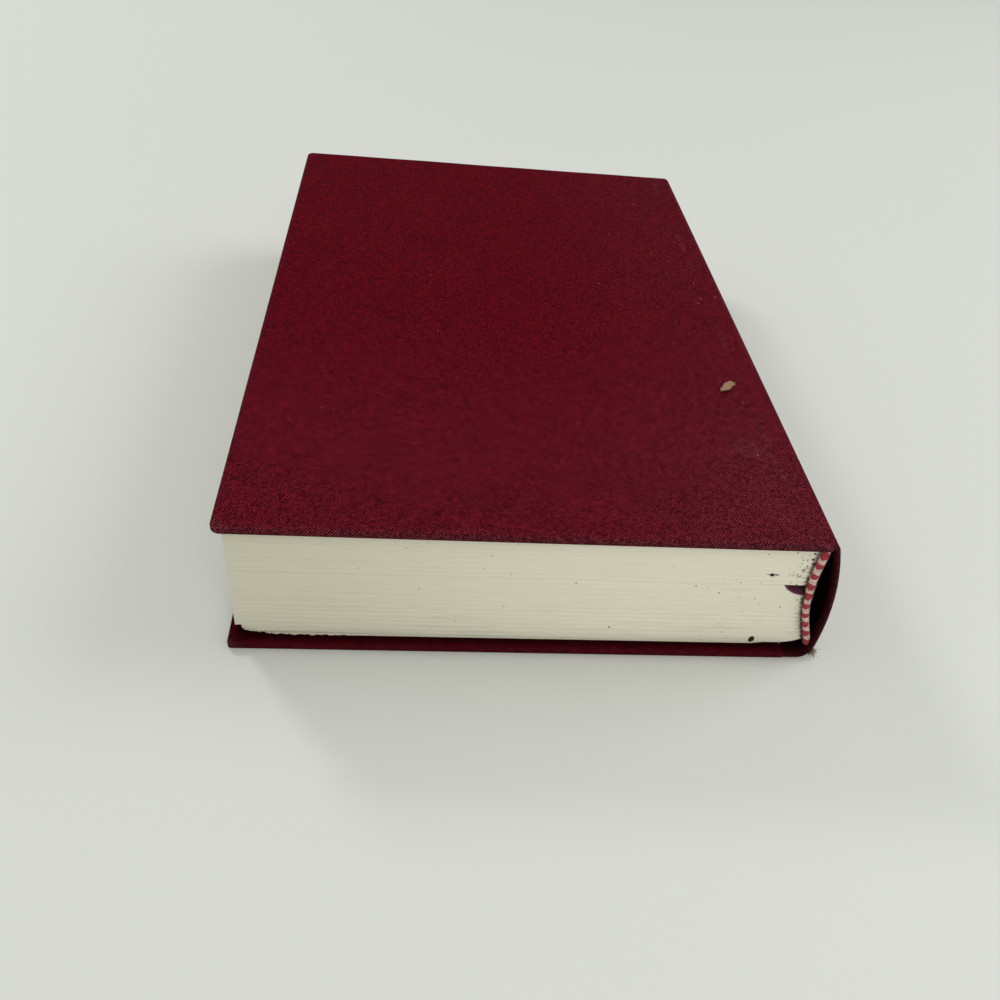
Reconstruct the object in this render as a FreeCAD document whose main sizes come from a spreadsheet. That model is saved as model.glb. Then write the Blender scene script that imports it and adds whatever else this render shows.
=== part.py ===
import FreeCAD, Part
import math
import os

import Sketcher

# A cloth-covered hardback book with a hollow back, lying on its back cover.
# X runs from the fore-edge to the spine, Y from the head to the tail, Z up from the table.
# The origin is the middle of the book's footprint. Sizes are in mm, degrees, counts and shares.

SIZES = {
    # Covered boards
    "cover_height": 222.0,
    "cover_width": 149.0,
    "board_thickness": 1.8,
    "cloth_thickness": 0.28,
    "turn_in_width": 15.0,
    "front_corner_radius": 2.2,
    "back_corner_radius": 0.8,
    "cloth_edge_radius": 0.5,
    "board_hinge_gap": 0.3,
    # Endpapers, and the gauze that ties the boards to the pages
    "endpaper_thickness": 0.18,
    "endpaper_hinge_gap": 0.6,
    "pastedown_margin": 3.0,
    "pastedown_fit": 0.1,
    "flyleaf_corner_loss": 3.6,
    "mull_thickness": 0.25,
    "mull_wing_width": 25.0,
    "mull_end_margin": 2.0,
    # Sewn pages
    "pages_thickness": 37.86,
    "head_square": 3.2,
    "tail_square": 3.2,
    "fore_square": 1.9,
    "last_leaf_rise": 1.5,
    "last_leaf_radius": 20.0,
    "section_count": 22,
    "fold_depth": 0.28,
    "fold_width": 1.1,
    "fold_shoulder_reach": 0.45,
    "fold_shoulder_depth": 0.1,
    "worn_corner_radius": 3.3,
    "worn_corner_height": 0.6,
    "rubbed_corner_radius": 2.1,
    "rubbed_corner_height": 3.1,
    # Curve of the backs of the pages, which have sunk inwards near the top
    "back_curve_radius": 90.0,
    "back_inset": 0.55,
    "back_sink_level": 4.7,
    # Outside of the spine: a small front corner, one long round and a back corner
    "spine_front_radius": 2.4,
    "spine_round_radius": 91.2,
    "spine_back_radius": 4.2,
    "spine_lean": 20.7,
    "inlay_thickness": 1.0,
    # Bands at head and tail: a tape behind the pages and a striped bead over their edge
    "tape_thickness": 0.3,
    "tape_length": 12.0,
    "tape_end_margin": 0.4,
    "lining_thickness": 0.2,
    "lining_end_margin": 1.0,
    "bead_radius": 1.05,
    "thread_thickness": 0.2,
    "bead_offset": 0.25,
    "bead_sides": 12,
    "bead_turns": 10,
    "red_share": 0.5,
    "bead_front_margin": 1.0,
    "bead_back_margin": 0.4,
    # Ribbon marker, which comes from under the head bead and dents the leaves below it
    "ribbon_thickness": 0.3,
    "ribbon_fit": 0.1,
    "ribbon_length": 190.0,
    "ribbon_curl_radius": 7.4,
    "ribbon_level": 14.68,
    "ribbon_drop": 3.7,
    "ribbon_dent_length": 10.0,
}

doc = FreeCAD.newDocument("hardback_book")
sheet = doc.addObject("Spreadsheet::Sheet", "sizes")
for row, (alias, size) in enumerate(SIZES.items(), start=1):
    cell = "A%d" % row
    sheet.set(cell, str(size))
    sheet.setAlias(cell, alias)
doc.recompute()

# Sizes that follow from the sheet, as expressions

PANEL = "(2 * sizes.cloth_thickness + sizes.board_thickness)"
PAGES_BASE = "(%s + 2 * sizes.endpaper_thickness)" % PANEL
PAGES_TOP = "(%s + sizes.pages_thickness)" % PAGES_BASE
TOTAL = "(%s + %s)" % (PAGES_BASE, PAGES_TOP)
PAGES_HEIGHT = "(sizes.cover_height - sizes.head_square - sizes.tail_square)"
PAGES_SHIFT = "((sizes.head_square - sizes.tail_square) / 2)"
ROUND_X = (
    "(sizes.cover_width - (sizes.spine_round_radius - sizes.spine_front_radius)"
    " * cos(sizes.spine_lean))"
)
MIDDLE_X = "((%s + sizes.spine_round_radius) / 2)" % ROUND_X
BACK_CENTRE_X = "(sizes.cover_width - sizes.back_inset + sizes.back_curve_radius)"
BACK_CENTRE_Z = "(%s - sizes.back_sink_level)" % PAGES_TOP
BACK_LOWEST = "(%s + sizes.last_leaf_rise)" % PAGES_BASE
WINDOW_HEIGHT = "(sizes.cover_height - 2 * sizes.turn_in_width)"
RIBBON_TOP = "(%s - sizes.ribbon_level)" % PAGES_TOP
BEAD_PATH_RADIUS = "(sizes.back_curve_radius - sizes.bead_offset)"
BEAD_TOP = "(%s - sizes.bead_front_margin)" % PAGES_TOP
BEAD_BOTTOM = "(%s + sizes.bead_back_margin)" % BACK_LOWEST
BEAD_ABOVE = "asin((%s - %s) / %s)" % (BEAD_TOP, BACK_CENTRE_Z, BEAD_PATH_RADIUS)
BEAD_BELOW = "asin((%s - %s) / %s)" % (BACK_CENTRE_Z, BEAD_BOTTOM, BEAD_PATH_RADIUS)
BEAD_PITCH = "((%s + %s) / sizes.bead_turns)" % (BEAD_ABOVE, BEAD_BELOW)

OVERSHOOT = 1.0
TOLERANCE = 0.001


def number(expression):
    """Value of an expression over the sheet."""
    value = sheet.evalExpression(expression)
    return float(getattr(value, "Value", value))


def make_body(label, y_shift="0"):
    """Empty body in the book's frame, whose own X starts at the covers' fore-edge."""
    body = doc.addObject("PartDesign::Body", label)
    body.Label = label
    body.setExpression("Placement.Base.x", "-%s" % MIDDLE_X)
    body.setExpression("Placement.Base.y", y_shift)
    return body


def make_sketch(body, name, role, level="0"):
    """Sketch on one of the body's own origin planes, moved along its normal by level."""
    sketch = body.newObject("Sketcher::SketchObject", name)
    plane = [item for item in body.Origin.OriginFeatures if item.Role == role][0]
    sketch.AttachmentSupport = [(plane, "")]
    sketch.MapMode = "FlatFace"
    sketch.setExpression("AttachmentOffset.Base.z", level)
    return sketch


def dimension(sketch, name, kind, places, expression):
    """Dimensional constraint bound to an expression over the sheet."""
    constraint = Sketcher.Constraint(kind, *places, number(expression))
    index = sketch.addConstraint(constraint)
    sketch.renameConstraint(index, name)
    sketch.setExpression("Constraints." + name, expression)


def relate(sketch, *relations):
    """Geometric constraints, each given as its kind and places."""
    for relation in relations:
        sketch.addConstraint(Sketcher.Constraint(*relation))


def line(x1, y1, x2, y2):
    return Part.LineSegment(FreeCAD.Vector(x1, y1, 0), FreeCAD.Vector(x2, y2, 0))


def arc(x, y, radius, start, end):
    """Arc about (x, y), counter-clockwise from start to end in radians."""
    circle = Part.Circle(FreeCAD.Vector(x, y, 0), FreeCAD.Vector(0, 0, 1), radius)
    return Part.ArcOfCircle(circle, start, end)


def pad(body, name, sketch, length, symmetric=False):
    feature = body.newObject("PartDesign::Pad", name)
    feature.Profile = sketch
    feature.SideType = "Symmetric" if symmetric else "One side"
    feature.setExpression("Length", length)
    return feature


def pocket(body, name, sketch, length, symmetric=False, upwards=False):
    feature = body.newObject("PartDesign::Pocket", name)
    feature.Profile = sketch
    feature.SideType = "Symmetric" if symmetric else "One side"
    feature.Reversed = upwards
    feature.setExpression("Length", length)
    return feature


def fillet(body, name, base, chosen, radius):
    """Round the edges of base that chosen accepts."""
    doc.recompute()
    edges = base.Shape.Edges
    names = ["Edge%d" % (i + 1) for i, edge in enumerate(edges) if chosen(edge)]
    feature = body.newObject("PartDesign::Fillet", name)
    feature.Base = (base, names)
    feature.setExpression("Radius", radius)
    return feature


def panel_sketch(body, name, level, left, right, height, corner):
    """Rectangle even about the X axis. Its two fore-edge corners have radius corner, or none."""
    sketch = make_sketch(body, name, "XY_Plane", level)
    x0, x1, half = number(left), number(right), number(height) / 2
    if corner:
        r = number(corner)
        sketch.addGeometry(line(x0 + r, -half, x1, -half))
        sketch.addGeometry(line(x1, -half, x1, half))
        sketch.addGeometry(line(x1, half, x0 + r, half))
        sketch.addGeometry(line(x0, half - r, x0, -half + r))
        sketch.addGeometry(arc(x0 + r, half - r, r, math.pi / 2, math.pi))
        sketch.addGeometry(arc(x0 + r, -half + r, r, math.pi, 1.5 * math.pi))
        relate(sketch, ("Tangent", 2, 2, 4, 1), ("Tangent", 4, 2, 3, 1))
        relate(sketch, ("Tangent", 3, 2, 5, 1), ("Tangent", 5, 2, 0, 1), ("Equal", 4, 5))
        dimension(sketch, "corner", "Radius", (4,), corner)
    else:
        sketch.addGeometry(line(x0, -half, x1, -half))
        sketch.addGeometry(line(x1, -half, x1, half))
        sketch.addGeometry(line(x1, half, x0, half))
        sketch.addGeometry(line(x0, half, x0, -half))
        relate(sketch, ("Coincident", 2, 2, 3, 1), ("Coincident", 3, 2, 0, 1))
    relate(sketch, ("Coincident", 0, 2, 1, 1), ("Coincident", 1, 2, 2, 1))
    relate(sketch, ("Horizontal", 0), ("Horizontal", 2), ("Vertical", 3))
    relate(sketch, ("Symmetric", 1, 1, 1, 2, -1))
    if x0 == 0:
        relate(sketch, ("PointOnObject", 3, 1, -2))
    else:
        dimension(sketch, "left", "DistanceX", (-1, 1, 3, 1), left)
    dimension(sketch, "right", "DistanceX", (-1, 1, 1, 1), right)
    dimension(sketch, "height", "DistanceY", (1, 1, 1, 2), height)
    return sketch


# Covers: each is drawn with its outside at Z = 0 and its inside up


def place_cover(body, front):
    """Leave a back cover as drawn, or turn it over onto the top of the book."""
    if front:
        body.Placement.Rotation = FreeCAD.Rotation(FreeCAD.Vector(1, 0, 0), 180)
        body.setExpression("Placement.Base.z", TOTAL)


def corner_radius(front):
    """Radius of the corners at the fore-edge, which are worn on the front cover only."""
    return "sizes.front_corner_radius" if front else "sizes.back_corner_radius"


def make_board(label, front):
    """Grey board with the corners at its fore-edge rounded."""
    body = make_body(label)
    outline = panel_sketch(
        body, label + "_outline", "sizes.cloth_thickness",
        "sizes.cloth_thickness", "sizes.cover_width - sizes.board_hinge_gap",
        "sizes.cover_height - 2 * sizes.cloth_thickness",
        "%s - sizes.cloth_thickness" % corner_radius(front))
    pad(body, label + "_pad", outline, "sizes.board_thickness")
    place_cover(body, front)
    return body


def make_cover_cloth(label, front):
    """Cloth round a board: a plate hollowed out for the board, open inside its turn-ins."""
    body = make_body(label)
    outline = panel_sketch(
        body, label + "_outline", "0", "0", "sizes.cover_width", "sizes.cover_height",
        corner_radius(front))
    plate = pad(body, label + "_plate", outline, PANEL)
    hinge = number("sizes.cover_width")
    thickness = number(PANEL)

    def is_rim(edge):
        box = edge.BoundBox
        flat = box.ZLength < TOLERANCE
        outer = box.ZMin < TOLERANCE or box.ZMax > thickness - TOLERANCE
        return flat and outer and box.XMin < hinge - TOLERANCE

    fillet(body, label + "_rim", plate, is_rim, "sizes.cloth_edge_radius")
    cavity = panel_sketch(
        body, label + "_cavity", "sizes.cloth_thickness + sizes.board_thickness",
        "sizes.cloth_thickness", "sizes.cover_width + %g" % OVERSHOOT,
        "sizes.cover_height - 2 * sizes.cloth_thickness",
        "%s - sizes.cloth_thickness" % corner_radius(front))
    pocket(body, label + "_board_space", cavity, "sizes.board_thickness")
    window = panel_sketch(
        body, label + "_window", PANEL, "sizes.turn_in_width",
        "sizes.cover_width + %g" % OVERSHOOT, WINDOW_HEIGHT, None)
    pocket(body, label + "_turn_ins", window, "sizes.cloth_thickness")
    place_cover(body, front)
    return body


def make_pastedown(label, front):
    """Endpaper half glued inside a cover, sunk onto the board between the turn-ins."""
    body = make_body(label)
    paper = "sizes.endpaper_thickness"
    sheet_outline = panel_sketch(
        body, label + "_outline", PANEL, "sizes.pastedown_margin",
        "sizes.cover_width - sizes.endpaper_hinge_gap",
        "sizes.cover_height - 2 * sizes.pastedown_margin", None)
    pad(body, label + "_sheet", sheet_outline, paper)
    sunk_left = "sizes.turn_in_width + sizes.pastedown_fit"
    sunk_right = "sizes.cover_width - sizes.mull_wing_width - sizes.pastedown_fit"
    sunk_height = "%s - 2 * sizes.pastedown_fit" % WINDOW_HEIGHT
    sunk = panel_sketch(
        body, label + "_sunk", "sizes.cloth_thickness + sizes.board_thickness",
        sunk_left, sunk_right, sunk_height, None)
    pad(body, label + "_sunk_sheet", sunk, "sizes.cloth_thickness")
    dip = panel_sketch(
        body, label + "_dip", "%s + %s" % (PANEL, paper),
        "%s + %s" % (sunk_left, paper), "%s - %s" % (sunk_right, paper),
        "%s - 2 * %s" % (sunk_height, paper), None)
    pocket(body, label + "_dip_cut", dip, "sizes.cloth_thickness")
    place_cover(body, front)
    return body


def make_mull_wing(label, front):
    """Wing of the gauze, glued to the board under the pastedown."""
    body = make_body(label)
    outline = panel_sketch(
        body, label + "_outline", "sizes.cloth_thickness + sizes.board_thickness",
        "sizes.cover_width - sizes.mull_wing_width",
        "sizes.cover_width - sizes.endpaper_hinge_gap",
        "%s - 2 * sizes.mull_end_margin" % WINDOW_HEIGHT, None)
    pad(body, label + "_pad", outline, "sizes.mull_thickness")
    place_cover(body, front)
    return body


# Spine: bands between two offsets of one outline, of three tangent arcs and a flat foot


def spine_arcs():
    """Centres, radii and angles of the front corner, long round and back corner."""
    front = number("sizes.spine_front_radius")
    long_round = number("sizes.spine_round_radius")
    back = number("sizes.spine_back_radius")
    lean = math.radians(number("sizes.spine_lean"))
    x = number(ROUND_X)
    z = number(TOTAL) - front - (long_round - front) * math.sin(lean)
    back_x = x + math.sqrt((long_round - back) ** 2 - (z - back) ** 2)
    turn = math.atan2(back - z, back_x - x)
    return [
        (number("sizes.cover_width"), number(TOTAL) - front, front, lean, math.pi / 2),
        (x, z, long_round, turn, lean),
        (back_x, back, back, -math.pi / 2, turn),
    ]


def spine_sketch(body, name, offset, thickness):
    """Band of the spine's wall from offset to offset + thickness under its outside."""
    sketch = make_sketch(body, name, "XZ_Plane")
    depth = number(offset)
    wall = number(thickness)
    width = number("sizes.cover_width")
    arcs = spine_arcs()
    foot_x = arcs[2][0]
    for inwards in (depth, depth + wall):
        for x, z, radius, start, end in arcs:
            sketch.addGeometry(arc(x, z, radius - inwards, start, end))
        sketch.addGeometry(line(foot_x, inwards, width, inwards))
    top = number(TOTAL) - depth
    sketch.addGeometry(line(width, top, width, top - wall))
    sketch.addGeometry(line(width, depth, width, depth + wall))
    for corner, end in ((0, 1), (4, 2)):
        relate(sketch, ("Tangent", corner, 1, corner + 1, 2))
        relate(sketch, ("Tangent", corner + 1, 1, corner + 2, 2))
        relate(sketch, ("Tangent", corner + 2, 1, corner + 3, 1))
        relate(sketch, ("Coincident", corner, 2, 8, end), ("Coincident", corner + 3, 2, 9, end))
        relate(sketch, ("Horizontal", corner + 3))
    for outer in (0, 1, 2):
        relate(sketch, ("Coincident", outer, 3, outer + 4, 3))
    relate(sketch, ("Vertical", 8), ("Vertical", 9), ("Vertical", 0, 2, 0, 3))
    dimension(sketch, "hinge_front", "DistanceX", (-1, 1, 0, 2), "sizes.cover_width")
    dimension(sketch, "hinge_back", "DistanceX", (-1, 1, 3, 2), "sizes.cover_width")
    dimension(sketch, "corner_level", "DistanceY", (-1, 1, 0, 3),
              "%s - sizes.spine_front_radius" % TOTAL)
    dimension(sketch, "front_corner", "Radius", (0,), "sizes.spine_front_radius - (%s)" % offset)
    dimension(sketch, "long_round", "Radius", (1,), "sizes.spine_round_radius - (%s)" % offset)
    dimension(sketch, "back_corner", "Radius", (2,), "sizes.spine_back_radius - (%s)" % offset)
    dimension(sketch, "round_x", "DistanceX", (-1, 1, 1, 3), ROUND_X)
    dimension(sketch, "inner_corner", "Radius", (4,),
              "sizes.spine_front_radius - (%s) - (%s)" % (offset, thickness))
    if depth == 0:
        relate(sketch, ("PointOnObject", 3, 2, -1))
    else:
        dimension(sketch, "base", "DistanceY", (-1, 1, 3, 2), offset)
    return sketch


def make_spine_cloth(label):
    """Cloth of the spine, turned in over the inlay at head and tail."""
    body = make_body(label)
    wall = spine_sketch(
        body, label + "_wall", "0", "2 * sizes.cloth_thickness + sizes.inlay_thickness")
    pad(body, label + "_pad", wall, "sizes.cover_height", symmetric=True)
    slot = spine_sketch(
        body, label + "_slot", "sizes.cloth_thickness", "sizes.inlay_thickness")
    pocket(body, label + "_inlay_space", slot,
           "sizes.cover_height - 2 * sizes.cloth_thickness", symmetric=True)
    lip = spine_sketch(
        body, label + "_lip", "sizes.cloth_thickness + sizes.inlay_thickness",
        "sizes.cloth_thickness")
    pocket(body, label + "_turn_ins", lip, WINDOW_HEIGHT, symmetric=True)
    return body


def make_spine_inlay(label):
    """Card strip that stiffens the spine."""
    body = make_body(label)
    strip = spine_sketch(
        body, label + "_outline", "sizes.cloth_thickness", "sizes.inlay_thickness")
    pad(body, label + "_pad", strip, "sizes.cover_height - 2 * sizes.cloth_thickness",
        symmetric=True)
    return body


# Pages


def back_angle(level, radius):
    """Angle at the centre of the back curve of its point at height level."""
    return math.pi - math.asin((level - number(BACK_CENTRE_Z)) / radius)


def make_text_block(label):
    """Sewn pages as one solid: squared at the fore-edge, with the folds of its sections at the
    sunken back, the last leaves lifted towards the spine, two worn corners and the ribbon's bed."""
    body = make_body(label, PAGES_SHIFT)
    sketch = make_sketch(body, label + "_outline", "XZ_Plane")
    fore, base, top = number("sizes.fore_square"), number(PAGES_BASE), number(PAGES_TOP)
    lowest = number(BACK_LOWEST)
    radius, centre_x = number("sizes.back_curve_radius"), number(BACK_CENTRE_X)
    centre_z = number(BACK_CENTRE_Z)
    lift_radius = number("sizes.last_leaf_radius")
    first, last = back_angle(top, radius), back_angle(lowest, radius)
    back_top_x = centre_x + radius * math.cos(first)
    back_low_x = centre_x + radius * math.cos(last)
    lift = math.acos(1 - (lowest - base) / lift_radius)
    lift_x = back_low_x - lift_radius * math.sin(lift)
    sketch.addGeometry(line(fore, base, lift_x, base))
    sketch.addGeometry(
        arc(lift_x, base + lift_radius, lift_radius, 1.5 * math.pi, 1.5 * math.pi + lift))
    sketch.addGeometry(arc(centre_x, centre_z, radius, first, last))
    sketch.addGeometry(line(back_top_x, top, fore, top))
    sketch.addGeometry(line(fore, top, fore, base))
    relate(sketch, ("Tangent", 0, 2, 1, 1), ("Coincident", 1, 2, 2, 2))
    relate(sketch, ("Coincident", 2, 1, 3, 1), ("Coincident", 3, 2, 4, 1))
    relate(sketch, ("Coincident", 4, 2, 0, 1), ("Horizontal", 0), ("Horizontal", 3))
    relate(sketch, ("Vertical", 4))
    dimension(sketch, "fore", "DistanceX", (-1, 1, 4, 1), "sizes.fore_square")
    dimension(sketch, "base", "DistanceY", (-1, 1, 0, 1), PAGES_BASE)
    dimension(sketch, "thickness", "DistanceY", (4, 2, 4, 1), "sizes.pages_thickness")
    dimension(sketch, "rise", "DistanceY", (1, 1, 1, 2), "sizes.last_leaf_rise")
    dimension(sketch, "rise_radius", "Radius", (1,), "sizes.last_leaf_radius")
    dimension(sketch, "back_x", "DistanceX", (-1, 1, 2, 3), BACK_CENTRE_X)
    dimension(sketch, "back_z", "DistanceY", (-1, 1, 2, 3), BACK_CENTRE_Z)
    dimension(sketch, "back_radius", "Radius", (2,), "sizes.back_curve_radius")
    pad(body, label + "_pad", sketch, PAGES_HEIGHT, symmetric=True)
    cut_fold_valleys(body, label, first, last)
    cut_worn_corner(body, label + "_worn", "worn")
    cut_worn_corner(body, label + "_rubbed", "rubbed")
    cut_ribbon_bed(body, label)
    return body


def cut_fold_valleys(body, label, first, last):
    """Valleys between the rounded folds of the sections, down the whole back."""
    sketch = make_sketch(body, label + "_folds", "XZ_Plane")
    radius, depth = number("sizes.back_curve_radius"), number("sizes.fold_depth")
    centre = FreeCAD.Vector(number(BACK_CENTRE_X), number(BACK_CENTRE_Z), 0)
    half = number("sizes.fold_width") / 2 / radius
    sections = int(number("sizes.section_count"))

    def back_point(angle, inwards):
        reach = radius + inwards
        return centre + FreeCAD.Vector(reach * math.cos(angle), reach * math.sin(angle), 0)

    for i in range(1, sections):
        angle = first + (last - first) * i / sections
        above = back_point(angle - half, -depth)
        below = back_point(angle + half, -depth)
        bottom = back_point(angle, depth)
        for side, end in ((-1, above), (1, below)):
            shoulder = back_point(
                angle + side * number("sizes.fold_shoulder_reach") * half,
                number("sizes.fold_shoulder_depth") * depth)
            sketch.addGeometry(Part.Arc(end, shoulder, bottom))
        sketch.addGeometry(Part.LineSegment(above, below))
    pocket(body, label + "_fold_cut", sketch, "%s + %g" % (PAGES_HEIGHT, OVERSHOOT),
           symmetric=True)


def cut_worn_corner(body, name, kind):
    """Round off the last leaves' corner at head and fore-edge up to its own height."""
    sketch = make_sketch(body, name + "_outline", "XY_Plane", PAGES_BASE)
    fore, r = number("sizes.fore_square"), number("sizes.%s_corner_radius" % kind)
    head = -number(PAGES_HEIGHT) / 2
    out_x, out_y = fore - OVERSHOOT, head - OVERSHOOT
    sketch.addGeometry(arc(fore + r, head + r, r, math.pi, 1.5 * math.pi))
    sketch.addGeometry(line(fore + r, head, fore + r, out_y))
    sketch.addGeometry(line(fore + r, out_y, out_x, out_y))
    sketch.addGeometry(line(out_x, out_y, out_x, head + r))
    sketch.addGeometry(line(out_x, head + r, fore, head + r))
    for i in range(5):
        relate(sketch, ("Coincident", i, 2, (i + 1) % 5, 1))
    pocket(body, name + "_cut", sketch, "sizes.%s_corner_height" % kind, upwards=True)


def ribbon_sketch(body, name, head_level, inner, outer):
    """Curled strip between two radii, from the gap in the leaves down to below the bead."""
    sketch = make_sketch(body, name, "XZ_Plane", head_level)
    x = number("sizes.cover_width")
    curl = number("sizes.ribbon_curl_radius")
    z = number(RIBBON_TOP) - number("sizes.ribbon_drop") + curl
    inside, outside = number(inner), number(outer)
    right = number("sizes.cover_width - sizes.back_inset")
    level = number("%s - sizes.ribbon_fit" % RIBBON_TOP)
    ends = []
    for radius in (outside, inside):
        low = 1.5 * math.pi - math.asin((x - right) / radius)
        high = math.pi + math.asin((z - level) / radius)
        sketch.addGeometry(arc(x, z, radius, high, low))
        ends.append((x + radius * math.cos(high), z + radius * math.sin(low)))
    sketch.addGeometry(line(ends[0][0], level, ends[1][0], level))
    sketch.addGeometry(line(right, ends[0][1], right, ends[1][1]))
    relate(sketch, ("Coincident", 0, 1, 2, 1), ("Coincident", 1, 1, 2, 2))
    relate(sketch, ("Coincident", 0, 2, 3, 1), ("Coincident", 1, 2, 3, 2))
    relate(sketch, ("Coincident", 0, 3, 1, 3), ("Horizontal", 2), ("Vertical", 3))
    dimension(sketch, "outer", "Radius", (0,), outer)
    dimension(sketch, "inner", "Radius", (1,), inner)
    dimension(sketch, "curl_x", "DistanceX", (-1, 1, 0, 3), "sizes.cover_width")
    dimension(sketch, "curl_z", "DistanceY", (-1, 1, 0, 3),
              "%s - sizes.ribbon_drop + sizes.ribbon_curl_radius" % RIBBON_TOP)
    dimension(sketch, "edge_z", "DistanceY", (-1, 1, 2, 1),
              "%s - sizes.ribbon_fit" % RIBBON_TOP)
    dimension(sketch, "edge_x", "DistanceX", (-1, 1, 3, 1),
              "sizes.cover_width - sizes.back_inset")
    return sketch


def cut_ribbon_bed(body, label):
    """Dent at the head with a flat roof and a curled floor, and the ribbon's slot beyond it."""
    half = "%s / 2" % PAGES_HEIGHT
    sketch = make_sketch(body, label + "_dent", "XZ_Plane", half)
    x, curl = number("sizes.cover_width"), number("sizes.ribbon_curl_radius")
    top = number(RIBBON_TOP)
    floor = top - number("sizes.ribbon_drop")
    reach = math.acos((curl - top + floor) / curl)
    left, right = x - curl * math.sin(reach), x + OVERSHOOT
    sketch.addGeometry(
        arc(x, floor + curl, curl, 1.5 * math.pi - reach, 1.5 * math.pi))
    sketch.addGeometry(line(x, floor, right, floor))
    sketch.addGeometry(line(right, floor, right, top))
    sketch.addGeometry(line(right, top, left, top))
    relate(sketch, ("Tangent", 0, 2, 1, 1), ("Coincident", 1, 2, 2, 1))
    relate(sketch, ("Coincident", 2, 2, 3, 1), ("Coincident", 3, 2, 0, 1))
    relate(sketch, ("Vertical", 2), ("Horizontal", 3), ("Horizontal", 1))
    dimension(sketch, "curl", "Radius", (0,), "sizes.ribbon_curl_radius")
    dimension(sketch, "curl_x", "DistanceX", (-1, 1, 0, 3), "sizes.cover_width")
    dimension(sketch, "roof", "DistanceY", (-1, 1, 3, 1), RIBBON_TOP)
    dimension(sketch, "drop", "DistanceY", (2, 1, 2, 2), "sizes.ribbon_drop")
    dimension(sketch, "open_x", "DistanceX", (-1, 1, 2, 1),
              "sizes.cover_width + %g" % OVERSHOOT)
    pocket(body, label + "_dent_cut", sketch, "sizes.ribbon_dent_length")
    slot = ribbon_sketch(
        body, label + "_slot", half,
        "sizes.ribbon_curl_radius - sizes.ribbon_thickness - sizes.ribbon_fit",
        "sizes.ribbon_curl_radius")
    pocket(body, label + "_slot_cut", slot, "sizes.ribbon_length + sizes.ribbon_fit")


def make_flyleaf(label, base, worn):
    """Free endpaper on one side of the pages. The back one has lost a corner at the head."""
    body = make_body(label, PAGES_SHIFT)
    outline = panel_sketch(
        body, label + "_outline", base, "sizes.fore_square",
        "sizes.cover_width - sizes.endpaper_hinge_gap", PAGES_HEIGHT, None)
    leaf = pad(body, label + "_pad", outline, "sizes.endpaper_thickness")
    if worn:
        fore, head = number("sizes.fore_square"), -number(PAGES_HEIGHT) / 2

        def is_corner(edge):
            box = edge.BoundBox
            return box.XMax < fore + TOLERANCE and box.YMax < head + TOLERANCE

        fillet(body, label + "_lost_corner", leaf, is_corner, "sizes.flyleaf_corner_loss")
    return body


# Layers glued down the backs of the pages


def back_band_sketch(body, name, level, offset, thickness, end_margin):
    """Band that follows the backs of the pages, from offset to offset + thickness off them."""
    sketch = make_sketch(body, name, "XZ_Plane", level)
    x, z = number(BACK_CENTRE_X), number(BACK_CENTRE_Z)
    highest = "%s - %s" % (PAGES_TOP, end_margin)
    lowest = "%s + %s" % (BACK_LOWEST, end_margin)
    near = number("sizes.back_curve_radius - (%s)" % offset)
    far = near - number(thickness)
    top, bottom = number(highest), number(lowest)
    for radius in (near, far):
        sketch.addGeometry(
            arc(x, z, radius, back_angle(top, radius), back_angle(bottom, radius)))
    for level_z in (top, bottom):
        xs = [x + radius * math.cos(back_angle(level_z, radius)) for radius in (near, far)]
        sketch.addGeometry(line(xs[0], level_z, xs[1], level_z))
    relate(sketch, ("Coincident", 0, 1, 2, 1), ("Coincident", 1, 1, 2, 2))
    relate(sketch, ("Coincident", 0, 2, 3, 1), ("Coincident", 1, 2, 3, 2))
    relate(sketch, ("Coincident", 0, 3, 1, 3), ("Horizontal", 2), ("Horizontal", 3))
    dimension(sketch, "near", "Radius", (0,), "sizes.back_curve_radius - (%s)" % offset)
    dimension(sketch, "far", "Radius", (1,),
              "sizes.back_curve_radius - (%s) - %s" % (offset, thickness))
    dimension(sketch, "centre_x", "DistanceX", (-1, 1, 0, 3), BACK_CENTRE_X)
    dimension(sketch, "centre_z", "DistanceY", (-1, 1, 0, 3), BACK_CENTRE_Z)
    dimension(sketch, "top", "DistanceY", (-1, 1, 2, 1), highest)
    dimension(sketch, "bottom", "DistanceY", (-1, 1, 3, 1), lowest)
    return sketch


def make_spine_mull(label):
    """Gauze glued to the folds between the two tapes."""
    body = make_body(label, PAGES_SHIFT)
    sketch = back_band_sketch(
        body, label + "_outline", "0", "0", "sizes.mull_thickness", "sizes.tape_end_margin")
    pad(body, label + "_pad", sketch,
        "%s - 2 * (sizes.tape_length + sizes.mull_end_margin)" % PAGES_HEIGHT, symmetric=True)
    return body


def make_spine_lining(label):
    """Paper strip over the gauze and the tapes."""
    body = make_body(label, PAGES_SHIFT)
    sketch = back_band_sketch(
        body, label + "_outline", "0", "max(sizes.tape_thickness; sizes.mull_thickness)",
        "sizes.lining_thickness", "sizes.tape_end_margin")
    pad(body, label + "_pad", sketch,
        "%s - 2 * sizes.lining_end_margin" % PAGES_HEIGHT, symmetric=True)
    return body


def make_tape(label, at_head):
    """Cloth tape that carries a bead, glued behind the pages at one end."""
    body = make_body(label, PAGES_SHIFT)
    half = "%s / 2" % PAGES_HEIGHT
    level = half if at_head else "sizes.tape_length - %s" % half
    sketch = back_band_sketch(
        body, label + "_outline", level, "0", "sizes.tape_thickness", "sizes.tape_end_margin")
    tape = pad(body, label + "_pad", sketch, "sizes.tape_length")
    tape.Reversed = True
    return body


# Beads: a round cord along the back curve, wound with red and white thread by turns


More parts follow.
